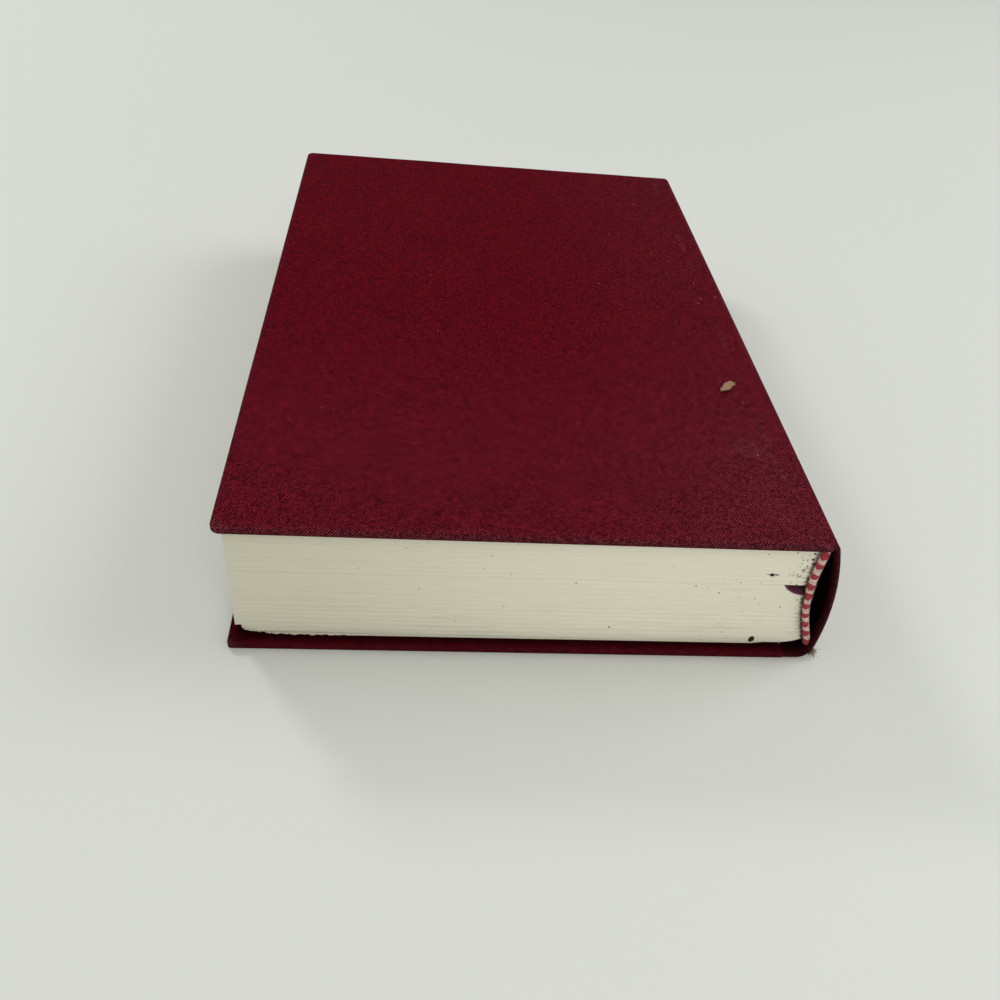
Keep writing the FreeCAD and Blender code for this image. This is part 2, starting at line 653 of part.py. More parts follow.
def make_bead_length(name, radius, start, sweep):
    """Length of the bead from start, in pitches, over sweep pitches, turned about Z."""
    section = doc.addObject("Part::RegularPolygon", name + "_section")
    section.Polygon = int(number("sizes.bead_sides"))
    section.setExpression("Circumradius", radius)
    section.Placement.Rotation = FreeCAD.Rotation(FreeCAD.Vector(1, 0, 0), 90)
    section.setExpression("Placement.Base.x", BEAD_PATH_RADIUS)
    length = doc.addObject("Part::Revolution", name)
    length.Source = section
    length.Axis = FreeCAD.Vector(0, 0, 1)
    length.Solid = True
    length.setExpression("Angle", "%g * %s" % (sweep, BEAD_PITCH))
    length.setExpression(
        "Placement.Rotation.Angle", "%g * %s - %s" % (start, BEAD_PITCH, BEAD_ABOVE))
    return length


def stand_bead(label, lengths, at_head):
    """The lengths of one bead as one piece, stood upright behind the pages at one end."""
    bead = doc.addObject("Part::Compound", label)
    bead.Label = label
    bead.Links = lengths
    bead.Placement.Rotation = FreeCAD.Rotation(
        FreeCAD.Vector(-1, 0, 0), FreeCAD.Vector(0, 0, -1), FreeCAD.Vector(0, -1, 0), "XYZ")
    bead.setExpression("Placement.Base.x", "%s - %s" % (BACK_CENTRE_X, MIDDLE_X))
    bead.setExpression("Placement.Base.y", "%s %s (%s / 2 + sizes.bead_radius)" % (
        PAGES_SHIFT, "-" if at_head else "+", PAGES_HEIGHT))
    bead.setExpression("Placement.Base.z", BACK_CENTRE_Z)
    return bead


def make_bead_cord(label, at_head):
    """Cord inside a bead."""
    cord = make_bead_length(
        label + "_length", "sizes.bead_radius - sizes.thread_thickness", 0,
        int(number("sizes.bead_turns")))
    return stand_bead(label, [cord], at_head)


def make_bead_thread(label, at_head, red):
    """Every red or every white group of turns on one bead, which starts and ends in white."""
    turns = int(number("sizes.bead_turns"))
    share = number("sizes.red_share")
    margin = (1 - share) / 2
    if red:
        groups = [(i + margin, share) for i in range(turns)]
    else:
        groups = [(i + margin + share, 2 * margin) for i in range(turns - 1)]
        groups += [(0, margin), (turns - margin, margin)]
    rings = []
    for i, (start, sweep) in enumerate(groups, start=1):
        name = "%s_%d" % (label, i)
        ring = doc.addObject("Part::Cut", name)
        ring.Base = make_bead_length(name + "_outside", "sizes.bead_radius", start, sweep)
        ring.Tool = make_bead_length(
            name + "_inside", "sizes.bead_radius - sizes.thread_thickness", start, sweep)
        rings.append(ring)
    return stand_bead(label, rings, at_head)


def make_ribbon(label):
    """Satin ribbon that lies in its bed from the head."""
    body = make_body(label, PAGES_SHIFT)
    sketch = ribbon_sketch(
        body, label + "_outline", "%s / 2" % PAGES_HEIGHT,
        "sizes.ribbon_curl_radius - sizes.ribbon_thickness", "sizes.ribbon_curl_radius")
    ribbon = pad(body, label + "_pad", sketch, "sizes.ribbon_length")
    ribbon.Reversed = True
    return body


pieces = []
for side in ("front", "back"):
    is_front = side == "front"
    pieces.append(make_board(side + "_board", is_front))
    pieces.append(make_cover_cloth(side + "_cover_cloth", is_front))
    pieces.append(make_mull_wing(side + "_mull_wing", is_front))
    pieces.append(make_pastedown(side + "_pastedown", is_front))
pieces.append(make_flyleaf("front_flyleaf", PAGES_TOP, False))
pieces.append(make_flyleaf("back_flyleaf", "%s + sizes.endpaper_thickness" % PANEL, True))
pieces.append(make_text_block("text_block"))
pieces.append(make_ribbon("ribbon_marker"))
pieces.append(make_spine_mull("spine_mull"))
pieces.append(make_spine_lining("spine_lining"))
for end in ("head", "tail"):
    is_head = end == "head"
    pieces.append(make_tape(end + "_band_tape", is_head))
    pieces.append(make_bead_cord(end + "_band_cord", is_head))
    pieces.append(make_bead_thread(end + "_band_red_thread", is_head, True))
    pieces.append(make_bead_thread(end + "_band_white_thread", is_head, False))
pieces.append(make_spine_inlay("spine_inlay"))
pieces.append(make_spine_cloth("spine_cloth"))
doc.recompute()

for item in doc.Objects:
    if "Invalid" in item.State or "Error" in item.State:
        raise RuntimeError("%s is not built: %s" % (item.Label, item.State))
for piece in pieces:
    if piece.Shape.isNull() or not piece.Shape.isValid():
        raise RuntimeError("%s has no valid shape" % piece.Label)

os.makedirs("parts", exist_ok=True)
for piece in pieces:
    piece.Shape.exportStep("parts/%s.step" % piece.Label)
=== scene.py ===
import math

import bmesh
import bpy
import numpy as np
from bpy.props import (
    FloatProperty,
    FloatVectorProperty,
    IntProperty,
    PointerProperty,
)
from mathutils import Matrix, Vector


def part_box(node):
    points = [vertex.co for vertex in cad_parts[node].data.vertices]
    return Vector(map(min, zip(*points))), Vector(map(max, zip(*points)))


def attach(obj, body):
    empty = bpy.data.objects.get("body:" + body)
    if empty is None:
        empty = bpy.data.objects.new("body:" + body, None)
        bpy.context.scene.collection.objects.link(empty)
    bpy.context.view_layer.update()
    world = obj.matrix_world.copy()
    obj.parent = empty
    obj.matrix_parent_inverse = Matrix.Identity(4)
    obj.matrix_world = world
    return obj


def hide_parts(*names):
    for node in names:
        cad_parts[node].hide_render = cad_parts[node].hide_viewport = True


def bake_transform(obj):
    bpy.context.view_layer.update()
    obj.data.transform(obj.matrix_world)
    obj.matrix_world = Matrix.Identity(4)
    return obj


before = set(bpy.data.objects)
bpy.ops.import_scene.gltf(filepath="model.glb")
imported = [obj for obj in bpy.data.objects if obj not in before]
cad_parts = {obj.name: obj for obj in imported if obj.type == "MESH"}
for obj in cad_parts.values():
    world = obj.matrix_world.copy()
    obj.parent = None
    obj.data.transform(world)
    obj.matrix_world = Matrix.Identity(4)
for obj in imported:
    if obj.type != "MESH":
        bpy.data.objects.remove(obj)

bl_info = {
    "name": "Hardback book",
    "version": (1, 0, 0),
    "blender": (4, 5, 0),
    "location": "View3D > Sidebar > Book",
    "description": "Builds the cloth, pages, bands, ribbon and table of a hardback book",
    "category": "Object",
}

MM = 0.001

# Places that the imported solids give, in metres. X runs from the fore-edge to the spine,
# Y from the head to the tail and Z up.
COVER_LOW, COVER_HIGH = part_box("back_cover_cloth")
FORE_X = COVER_LOW.x
HINGE_X = COVER_HIGH.x
COVER_HALF = COVER_HIGH.y
PANEL = COVER_HIGH.z
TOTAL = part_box("front_cover_cloth")[1].z
PAGES_LOW, PAGES_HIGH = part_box("text_block")
HEAD_Y = PAGES_LOW.y
TAIL_Y = PAGES_HIGH.y
PAGES_BASE = PAGES_LOW.z
PAGES_TOP = PAGES_HIGH.z
PAGES_FORE = PAGES_LOW.x
FLYLEAF_LOW, FLYLEAF_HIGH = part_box("back_flyleaf")
RIBBON_LOW, RIBBON_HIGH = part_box("ribbon_marker")


def linear(code):
    """Linear RGBA of an sRGB hex colour."""
    parts = [int(code[i:i + 2], 16) / 255 for i in (1, 3, 5)]
    return [c / 12.92 if c <= 0.04045 else ((c + 0.055) / 1.055) ** 2.4 for c in parts] + [1.0]


class ClothSettings(bpy.types.PropertyGroup):
    """Cloth over the two covers and the spine."""

    front_corner: FloatProperty(
        name="Front corner", description="Radius of the front cover's corners at the fore-edge",
        default=2.2 * MM, unit="LENGTH")
    back_corner: FloatProperty(
        name="Back corner", description="Radius of the back cover's corners at the fore-edge",
        default=0.9 * MM, unit="LENGTH")
    edge_radius: FloatProperty(
        name="Edge radius", description="Radius at which the cloth turns over a board's edges",
        default=0.75 * MM, unit="LENGTH")
    back_edge_radius: FloatProperty(
        name="Back edge radius",
        description="Radius at which the cloth turns over the back board's pressed edges",
        default=0.35 * MM, unit="LENGTH")
    unevenness: FloatProperty(
        name="Unevenness", description="Height of the boards' slow waves",
        default=0.06 * MM, unit="LENGTH")
    thread_pitch: FloatProperty(
        name="Thread pitch", description="Distance between neighbouring threads of the weave",
        default=0.43 * MM, unit="LENGTH")
    thread: FloatVectorProperty(
        name="Thread", description="Top of the threads", subtype="COLOR", size=4,
        default=linear("#7f0a1f"))
    ground: FloatVectorProperty(
        name="Ground", description="Dyed filler in the hollows of the weave", subtype="COLOR",
        size=4, default=linear("#1c0006"))
    # Also paints the sheen on the front cover, paler towards the spine and the near edge.
    worn_and_sheen: FloatVectorProperty(
        name="Worn", description="Rubbed and dusty threads", subtype="COLOR", size=4,
        default=linear("#8f6a74"))
    # Painted shade: this tone darkens the cloth on the boards' rims and on its inner side under the pages and in
    # the spine's hollow, where less light falls.
    painted_shade: FloatVectorProperty(
        name="Painted shade", description="Handled rims and the cloth's dark inner side",
        subtype="COLOR", size=4, default=linear("#3a2a2c"))


class SpineSettings(bpy.types.PropertyGroup):
    """Outside of the spine, of three tangent arcs and a flat foot."""

    front_radius: FloatProperty(
        name="Front radius", description="Radius of the small corner at the front cover",
        default=2.4 * MM, unit="LENGTH")
    round_radius: FloatProperty(
        name="Round radius", description="Radius of the long round", default=91.2 * MM,
        unit="LENGTH")
    back_radius: FloatProperty(
        name="Back radius", description="Radius of the corner at the back cover",
        default=4.2 * MM, unit="LENGTH")
    lean: FloatProperty(
        name="Lean", description="Turn of the long round where it leaves the front corner",
        default=math.radians(20.7), subtype="ANGLE")
    wall: FloatProperty(
        name="Wall", description="Two cloths and the card between them", default=1.56 * MM,
        unit="LENGTH")
    card_depth: FloatProperty(
        name="Card depth", description="Depth of the cloth's hidden side in the card",
        default=1.2 * MM, unit="LENGTH")
    turn_in: FloatProperty(
        name="Turn-in", description="Cloth folded to the inside at head and tail",
        default=15.0 * MM, unit="LENGTH")
    clearance: FloatProperty(
        name="Clearance", description="Depth of the spine's cloth under the opened front cover",
        default=0.02 * MM, unit="LENGTH")


class PagesSettings(bpy.types.PropertyGroup):
    """Sewn pages."""

    back_radius: FloatProperty(
        name="Back radius", description="Radius of the sunken backs of the sections",
        default=90.0 * MM, unit="LENGTH")
    back_inset: FloatProperty(
        name="Back inset", description="Gap from the hinge line to the deepest of the backs",
        default=0.55 * MM, unit="LENGTH")
    back_sink: FloatProperty(
        name="Sink", description="Depth below the top leaf at which the backs are deepest",
        default=4.7 * MM, unit="LENGTH")
    last_leaf_rise: FloatProperty(
        name="Last leaf rise", description="Height by which the last leaves lift at the spine",
        default=1.5 * MM, unit="LENGTH")
    last_leaf_radius: FloatProperty(
        name="Last leaf radius", description="Radius of that lift", default=20.0 * MM,
        unit="LENGTH")
    sections: IntProperty(
        name="Sections", description="Folded sections sewn together", default=22)
    fold_depth: FloatProperty(
        name="Fold depth", description="Depth of the valleys between the folds",
        default=0.28 * MM, unit="LENGTH")
    leaf_thickness: FloatProperty(
        name="Leaf thickness", description="Thickness of one leaf", default=0.11 * MM,
        unit="LENGTH")
    leaf_relief: FloatProperty(
        name="Leaf relief", description="Unevenness of the cut edges", default=0.05 * MM,
        unit="LENGTH")
    paper: FloatVectorProperty(
        name="Paper", description="Cut edges of the leaves", subtype="COLOR", size=4,
        default=linear("#ebe6d1"))
    gap: FloatVectorProperty(
        name="Gaps", description="Shaded gaps between leaves", subtype="COLOR", size=4,
        default=linear("#a39b80"))
    endpaper: FloatVectorProperty(
        name="Endpaper", description="Faces of the endpapers", subtype="COLOR", size=4,
        default=linear("#e2ddc8"))
    # Painted shade: this greyer tone darkens the leaves towards the fore-edge, where less light falls.
    painted_fore_shade: FloatVectorProperty(
        name="Handled", description="Leaves greyed by handling", subtype="COLOR", size=4,
        default=linear("#bcb8a4"))
    # The same dark tone paints the shade in the creases between sections, and beside the bead a line that is
    # partly glue and partly painted shade.
    soil: FloatVectorProperty(
        name="Soil", description="Dust and glue in creases and specks", subtype="COLOR", size=4,
        default=linear("#2d2a20"))


class RibbonSettings(bpy.types.PropertyGroup):
    """Ribbon marker and the dent that it makes in the leaves."""

    level: FloatProperty(
        name="Level", description="Depth of the dent's roof below the top leaf",
        default=14.68 * MM, unit="LENGTH")
    curl_radius: FloatProperty(
        name="Curl radius", description="Radius of the dent's floor", default=7.4 * MM,
        unit="LENGTH")
    drop: FloatProperty(
        name="Drop", description="Height of the dent under the bead", default=3.7 * MM,
        unit="LENGTH")
    dent_length: FloatProperty(
        name="Dent length", description="Depth of the dent from the head", default=10.0 * MM,
        unit="LENGTH")
    gap_length: FloatProperty(
        name="Gap length", description="Length of the open gap between leaves beside the dent",
        default=13.6 * MM, unit="LENGTH")
    thickness: FloatProperty(
        name="Thickness", description="Thickness of the ribbon", default=0.3 * MM,
        unit="LENGTH")
    satin: FloatVectorProperty(
        name="Satin", description="Face of the ribbon", subtype="COLOR", size=4,
        default=linear("#8b4a62"))


class BandSettings(bpy.types.PropertyGroup):
    """Striped bead at head and tail."""

    radius: FloatProperty(
        name="Radius", description="Radius of the bead", default=1.05 * MM, unit="LENGTH")
    offset: FloatProperty(
        name="Offset", description="Distance of the bead's middle behind the backs",
        default=0.25 * MM, unit="LENGTH")
    front_margin: FloatProperty(
        name="Front margin", description="Height of the first leaf above the bead's upper end",
        default=0.3 * MM, unit="LENGTH")
    back_margin: FloatProperty(
        name="Back margin", description="Height of the bead's lower end above the last leaf",
        default=-0.2 * MM, unit="LENGTH")
    slack: FloatProperty(
        name="Slack", description="Distance by which the bead's lower end has come away",
        default=1.05 * MM, unit="LENGTH")
    turns: IntProperty(name="Turns", description="Red patches on one bead", default=10)
    thread: FloatProperty(
        name="Thread", description="Width of one turn of thread", default=0.3 * MM,
        unit="LENGTH")
    red: FloatVectorProperty(
        name="Red", description="Red thread", subtype="COLOR", size=4,
        default=linear("#b02a37"))
    white: FloatVectorProperty(
        name="White", description="White thread, aged", subtype="COLOR", size=4,
        default=linear("#e3cdc2"))
    faded_red: FloatVectorProperty(
        name="Faded red", description="Rubbed red thread", subtype="COLOR", size=4,
        default=linear("#6e1c2c"))
    stained_white: FloatVectorProperty(
        name="Stained white", description="White thread with the red dye run in",
        subtype="COLOR", size=4, default=linear("#a86f66"))


class DirtSettings(bpy.types.PropertyGroup):
    """Dirt that lies on the book."""

    flake: FloatVectorProperty(
        name="Flake", description="Dry brown flake on the front cover", subtype="COLOR", size=4,
        default=linear("#a17a5a"))
    speck: FloatVectorProperty(
        name="Specks", description="Pale dust", subtype="COLOR", size=4,
        default=linear("#a59a90"))
    soil: FloatVectorProperty(
        name="Soil", description="Dark grit on the cut edges", subtype="COLOR", size=4,
        default=linear("#2b2a22"))


class StageSettings(bpy.types.PropertyGroup):
    """Table, light and camera."""

    table: FloatVectorProperty(
        name="Table", description="Pale table top", subtype="COLOR", size=4,
        default=linear("#d3d5cf"))
    sky_strength: FloatProperty(
        name="Room light", description="Strength of the even light of the room", default=0.53)
    window_power: FloatProperty(
        name="Window power", description="Power of the soft light on the right",
        default=10.8, unit="POWER")
    wall_power: FloatProperty(
        name="Wall power", description="Power of the soft light that a wall in front throws back",
        default=3.6, unit="POWER")
    lamp_power: FloatProperty(
        name="Lamp power", description="Power of the lamp behind on the left",
        default=4.5, unit="POWER")
    lens: FloatProperty(
        name="Lens", description="Focal length of the camera for a 36 mm sensor in mm",
        default=32.56)


GROUPS = {
    "book_cloth": ClothSettings,
    "book_spine": SpineSettings,
    "book_pages": PagesSettings,
    "book_ribbon": RibbonSettings,
    "book_band": BandSettings,
    "book_dirt": DirtSettings,
    "book_stage": StageSettings,
}


# Surfaces


def steps(start, end, count, ease=0.0):
    """count + 1 values from start to end. A positive ease crowds them towards the start."""
    t = np.linspace(0.0, 1.0, count + 1)
    return start + (end - start) * t ** (1.0 + ease)


def wander(t, seed, lengths, size):
    """Smooth irregular line: a sum of sines of the given wavelengths with random phases."""
    rng = np.random.default_rng(seed)
    total = np.zeros_like(np.asarray(t, float))
    for length in lengths:
        total = total + np.sin(2 * np.pi * (t / length + rng.random()))
    return size * total / len(lengths)


def smooth(t, start, end):
    """Smooth step from 0 at start to 1 at end."""
    s = np.clip((t - start) / (end - start), 0.0, 1.0)
    return s * s * (3.0 - 2.0 * s)


def grid_quads(rows, columns, ring=False):
    """Faces of a grid of points, whose last column joins the first one if it is a ring."""
    index = np.arange(rows * columns).reshape(rows, columns)
    across = np.concatenate([index, index[:, :1]], axis=1) if ring else index
    return np.stack(
        [across[:-1, :-1], across[:-1, 1:], across[1:, 1:], across[1:, :-1]], -1).reshape(-1, 4)


def end_caps(rows, columns, first, last, total):
    """Faces that close both ends of a tube of rings. Points first to last of a ring lie
    opposite the points total - first to total - last of the same ring."""
    j = np.arange(first, last)
    quad = np.stack([j, j + 1, total - j - 1, total - j], -1) % columns
    return np.concatenate([quad[:, ::-1], quad + (rows - 1) * columns])


def closed_sheet(front, back):
    """Points and faces of a thin closed piece from the two grids of its faces."""
    rows, columns = front.shape[:2]
    ring = np.concatenate([front, back[:, ::-1]], axis=1)
    faces = np.concatenate([
        grid_quads(rows, 2 * columns, ring=True),
        end_caps(rows, 2 * columns, 0, columns - 1, 2 * columns - 1)])
    return ring.reshape(-1, 3), faces


def put_mesh(name, points, faces, material, cloth=None, values=None, sharp=38.0):
    """Object from points and faces, closed at its seams and facing outwards.

    cloth holds each point's two coordinates along the material in metres, and values are
    named numbers of each point that the material reads.
    """
    points = np.asarray(points, float).reshape(-1, 3)
    mesh = bpy.data.meshes.new(name)
    mesh.from_pydata(points.tolist(), [], np.asarray(faces).tolist())
    if cloth is not None:
        corner = np.zeros(len(mesh.loops), np.int32)
        mesh.loops.foreach_get("vertex_index", corner)
        layer = mesh.uv_layers.new(name="lie")
        layer.data.foreach_set("uv", np.asarray(cloth, np.float32).reshape(-1, 2)[corner].ravel())
    for key, value in (values or {}).items():
        attribute = mesh.attributes.new(key, "FLOAT", "POINT")
        attribute.data.foreach_set("value", np.asarray(value, np.float32).ravel())
    shell = bmesh.new()
    shell.from_mesh(mesh)
    bmesh.ops.remove_doubles(shell, verts=shell.verts, dist=1e-7)
    if shell.calc_volume(signed=True) < 0:
        bmesh.ops.reverse_faces(shell, faces=shell.faces)
    shell.to_mesh(mesh)
    shell.free()
    mesh.shade_smooth()
    mesh.set_sharp_from_angle(angle=math.radians(sharp))
    mesh.materials.append(material)
    made = bpy.data.objects.new(name, mesh)
    bpy.context.scene.collection.objects.link(made)
    return made


def box_surface(nx, ny, nz):
    """Lattice on the outside of a block of nx by ny by nz cells: each point's three counts and
    the faces, which point outwards."""
    def side(fixed, value, first, second, flip):
        a, b = np.meshgrid(np.arange(first + 1), np.arange(second + 1), indexing="ij")
        count = [None, None, None]
        others = [axis for axis in range(3) if axis != fixed]
        count[fixed] = np.full(a.shape, value)
        count[others[0]], count[others[1]] = a, b
        key = count[0] + (nx + 1) * (count[1] + (ny + 1) * count[2])
        quad = np.stack([key[:-1, :-1], key[1:, :-1], key[1:, 1:], key[:-1, 1:]], -1)
        return quad.reshape(-1, 4)[:, ::-1 if flip else 1]

    sides = [
        side(0, 0, ny, nz, True), side(0, nx, ny, nz, False),
        side(1, 0, nx, nz, False), side(1, ny, nx, nz, True),
        side(2, 0, nx, ny, True), side(2, nz, nx, ny, False),
    ]
    keys, faces = np.unique(np.concatenate(sides), return_inverse=True)
    counts = np.stack(
        [keys % (nx + 1), keys // (nx + 1) % (ny + 1), keys // ((nx + 1) * (ny + 1))], -1)
    return counts, faces.reshape(-1, 4)


# Nodes and materials


def add_node(tree, kind, inputs=None, **settings):
    """Node with its settings, whose inputs take values or links from other nodes' outputs."""
    node = tree.nodes.new(kind)
    for key, value in settings.items():
        setattr(node, key, value)
    for key, value in (inputs or {}).items():
        if isinstance(value, bpy.types.NodeSocket):
            tree.links.new(value, node.inputs[key])
        else:
            node.inputs[key].default_value = value
    return node


def start_material(name):
    """Empty node material and its tree."""
    material = bpy.data.materials.new(name)
    material.use_nodes = True
    material.node_tree.nodes.clear()
    return material, material.node_tree


def end_material(tree, colour, height, depth, **uniform):
    """Principled shader with a linked colour and a bump of the given depth in metres."""
    bump = add_node(
        tree, "ShaderNodeBump", {"Strength": 1.0, "Distance": depth, "Height": height})
    inputs = {"Base Color": colour, "Normal": bump.outputs["Normal"]}
    inputs.update(uniform)
    shader = add_node(tree, "ShaderNodeBsdfPrincipled", inputs)
    add_node(tree, "ShaderNodeOutputMaterial", {"Surface": shader.outputs["BSDF"]})


def math_node(tree, operation, first, second=0.0, third=0.0):
    """Output of a Math node."""
    node = add_node(tree, "ShaderNodeMath", {0: first, 1: second, 2: third}, operation=operation)
    return node.outputs[0]


def stretched_noise(tree, place, size, detail=2.0):
    """Noise whose grains measure size in metres along X, Y and Z."""
    scaled = add_node(
        tree, "ShaderNodeVectorMath", {0: place, 1: tuple(1 / s for s in size)},
        operation="MULTIPLY")
    noise = add_node(
        tree, "ShaderNodeTexNoise",
        {"Vector": scaled.outputs[0], "Scale": 1.0, "Detail": detail, "Roughness": 0.55})
    return noise.outputs["Fac"]


def blend_colours(tree, factor, first, second, mode="MIX"):
    """Output of a colour mix."""
    node = add_node(
        tree, "ShaderNodeMix", {0: factor, 6: first, 7: second}, data_type="RGBA",
        blend_type=mode)
    return node.outputs[2]


def book_cloth(scene):
    """Plain-woven cotton book cloth, dyed and filled: dull threads over a darker ground."""
    look = scene.book_cloth
    material, tree = start_material("Plain-woven book cloth")
    lie = add_node(tree, "ShaderNodeUVMap", uv_map="lie").outputs["UV"]
    # The threads run a little unevenly, by a fifth of their spacing.
    stray = add_node(
        tree, "ShaderNodeTexNoise", {"Vector": lie, "Scale": 1 / (2.5 * MM), "Detail": 2.0})
    push = add_node(
        tree, "ShaderNodeVectorMath",
        {0: stray.outputs["Color"], 1: (0.45 * look.thread_pitch,) * 3, 2: lie},
        operation="MULTIPLY_ADD")
    part = add_node(tree, "ShaderNodeSeparateXYZ", {0: push.outputs[0]})
    turn = math.pi / look.thread_pitch
    warp = math_node(tree, "SINE", math_node(tree, "MULTIPLY", part.outputs["X"], turn))
    weft = math_node(tree, "SINE", math_node(tree, "MULTIPLY", part.outputs["Y"], turn))
    product = math_node(tree, "MULTIPLY", warp, weft)
    along = stretched_noise(tree, lie, (3.5 * MM, 0.43 * MM, 1.0), 3.0)
    across = stretched_noise(tree, lie, (0.43 * MM, 3.5 * MM, 1.0), 3.0)
    slub = math_node(tree, "ADD", along, across)
    lint = stretched_noise(tree, lie, (0.3 * MM, 0.3 * MM, 1.0), 3.0)
    cloud = stretched_noise(tree, lie, (26 * MM, 26 * MM, 1.0), 3.0)
    # Each crossing of two threads stands at its own height and is dyed a little apart.
    cell = add_node(
        tree, "ShaderNodeVectorMath", {0: push.outputs[0], 1: (look.thread_pitch,) * 3},
        operation="SNAP")
    knot = add_node(
        tree, "ShaderNodeTexWhiteNoise", {"Vector": cell.outputs[0]},
        noise_dimensions="2D").outputs["Value"]
    raised = math_node(
        tree, "MULTIPLY_ADD", product, 0.52, math_node(tree, "MULTIPLY_ADD", knot, 0.60, 0.04))
    uneven = math_node(tree, "MULTIPLY_ADD", slub, 0.6, -0.6)
    fuzzy = math_node(tree, "MULTIPLY_ADD", lint, 0.8, -0.4)
    level = add_node(
        tree, "ShaderNodeClamp",
        {0: math_node(tree, "ADD", raised, math_node(tree, "ADD", uneven, fuzzy))}).outputs[0]
    dyed = blend_colours(tree, level, tuple(look.ground), tuple(look.thread))
    shade = math_node(tree, "MULTIPLY_ADD", cloud, 0.30, 0.85)
    shaded = blend_colours(
        tree, 1.0, dyed,
        add_node(tree, "ShaderNodeCombineColor", {0: shade, 1: shade, 2: shade}).outputs[0],
        "MULTIPLY")
    # The wear attribute also carries painted sheen on the front cover.
    wear_and_sheen = add_node(tree, "ShaderNodeAttribute", attribute_name="wear_and_sheen").outputs["Fac"]
    rubbed = math_node(tree, "MULTIPLY", wear_and_sheen, level)
    worn_and_sheened = blend_colours(tree, rubbed, shaded, tuple(look.worn_and_sheen))
    # Painted shade: the rims and the cloth's inner side are darkened here, where less light falls.
    painted_shade = add_node(tree, "ShaderNodeAttribute", attribute_name="painted_shade").outputs["Fac"]
    colour = blend_colours(tree, painted_shade, worn_and_sheened, tuple(look.painted_shade), "MULTIPLY")
    # The open weave swallows most of the gloss.
    end_material(
        tree, colour, level, 0.10 * MM, Roughness=0.85, IOR=1.45,
        **{"Specular IOR Level": 0.03})
    return material


def page_edges(scene):
    """Cut edges of uncoated book paper: hundreds of fine leaf lines, a little soiled."""
    look = scene.book_pages
    material, tree = start_material("Cut book paper")
    lie = add_node(tree, "ShaderNodeUVMap", uv_map="lie").outputs["UV"]
    leaf = look.leaf_thickness
    # One leaf is half a pixel in the render, so the lines are drawn two leaves wide.
    fine = stretched_noise(tree, lie, (7 * MM, 2 * leaf, 1.0), 2.0)
    bundle = stretched_noise(tree, lie, (34 * MM, 5 * leaf, 1.0), 2.0)
    cloud = stretched_noise(tree, lie, (18 * MM, 9 * MM, 1.0), 3.0)
    lines = math_node(tree, "MULTIPLY", math_node(tree, "ADD", fine, bundle), 0.5)
    ramp = add_node(
        tree, "ShaderNodeMapRange", {0: lines, 1: 0.34, 2: 0.48, 3: 0.9, 4: 0.0})
    # The lower leaves stand less evenly, so their lines show more.
    level = add_node(
        tree, "ShaderNodeMapRange",
        {0: add_node(tree, "ShaderNodeSeparateXYZ", {0: lie}).outputs["Y"], 1: 6 * MM,
         2: 22 * MM, 3: 0.95, 4: 0.40})
    # The painted shade of the gaps between leaves varies in cloudy patches and is stronger on the lower leaves.
    gap_shade_strength = math_node(tree, "MULTIPLY", cloud, level.outputs[0])
    factor = math_node(tree, "MULTIPLY", ramp.outputs[0], gap_shade_strength)
    lined = blend_colours(tree, factor, tuple(look.paper), tuple(look.gap))
    # Painted shade: the leaves are darkened towards the fore-edge, where less light falls.
    painted_fore_shade = add_node(tree, "ShaderNodeAttribute", attribute_name="painted_fore_shade").outputs["Fac"]
    greyed = blend_colours(tree, painted_fore_shade, lined, tuple(look.painted_fore_shade))
    # Specks are small cells of which only some are soiled, more of them where soil is high.
    soil = add_node(tree, "ShaderNodeAttribute", attribute_name="soil").outputs["Fac"]
    place = add_node(tree, "ShaderNodeTexCoord").outputs["Object"]
    cells = add_node(
        tree, "ShaderNodeTexVoronoi", {"Vector": place, "Scale": 1 / (0.55 * MM)})
    chance = add_node(tree, "ShaderNodeSeparateColor", {0: cells.outputs["Color"]})
    chosen = math_node(tree, "LESS_THAN", chance.outputs[0], soil)
    reach = math_node(tree, "MULTIPLY_ADD", chance.outputs[1], 0.28, 0.10)
    small = math_node(tree, "LESS_THAN", cells.outputs["Distance"], reach)
    speck = math_node(tree, "MULTIPLY", chosen, small)
    cover = math_node(tree, "MULTIPLY_ADD", chance.outputs[2], 0.6, 0.35)
    dark = math_node(tree, "MULTIPLY", speck, cover)
    # Painted shade in the creases between sections and a line beside the bead that is partly glue and partly
    # painted shade, in the soil tone together with the real specks.
    shadow = add_node(tree, "ShaderNodeAttribute", attribute_name="glue_and_crease_shade").outputs["Fac"]
    dirt = math_node(tree, "MAXIMUM", dark, shadow)
    colour = blend_colours(tree, dirt, greyed, tuple(look.soil))
    end_material(tree, colour, lines, 0.06 * MM, Roughness=0.9, IOR=1.45)
    return material


def plain_paper(scene):
    """Uncoated endpaper: matt, cream, with faint fibres."""
    material, tree = start_material("Uncoated endpaper")
    place = add_node(tree, "ShaderNodeTexCoord").outputs["Object"]
    fibre = stretched_noise(tree, place, (0.6 * MM, 0.6 * MM, 0.6 * MM), 4.0)
    cloud = stretched_noise(tree, place, (30 * MM, 30 * MM, 30 * MM), 3.0)
    tint = math_node(tree, "MULTIPLY", math_node(tree, "ADD", fibre, cloud), 0.3)
    colour = blend_colours(
        tree, tint, tuple(scene.book_pages.endpaper), tuple(scene.book_pages.gap))
    end_material(tree, colour, fibre, 0.02 * MM, Roughness=0.92, IOR=1.45)
    return material


def satin(scene):
    """Woven satin ribbon: smooth long floats with fine ribs along its length."""
    look = scene.book_ribbon
    material, tree = start_material("Satin ribbon")
    lie = add_node(tree, "ShaderNodeUVMap", uv_map="lie").outputs["UV"]
    ribs = stretched_noise(tree, lie, (0.12 * MM, 6 * MM, 1.0), 2.0)
    dark = tuple(0.45 * c for c in look.satin[:3]) + (1.0,)
    colour = blend_colours(tree, ribs, dark, tuple(look.satin))
    end_material(
        tree, colour, ribs, 0.03 * MM, Roughness=0.45, IOR=1.5, Anisotropic=0.4)
    return material


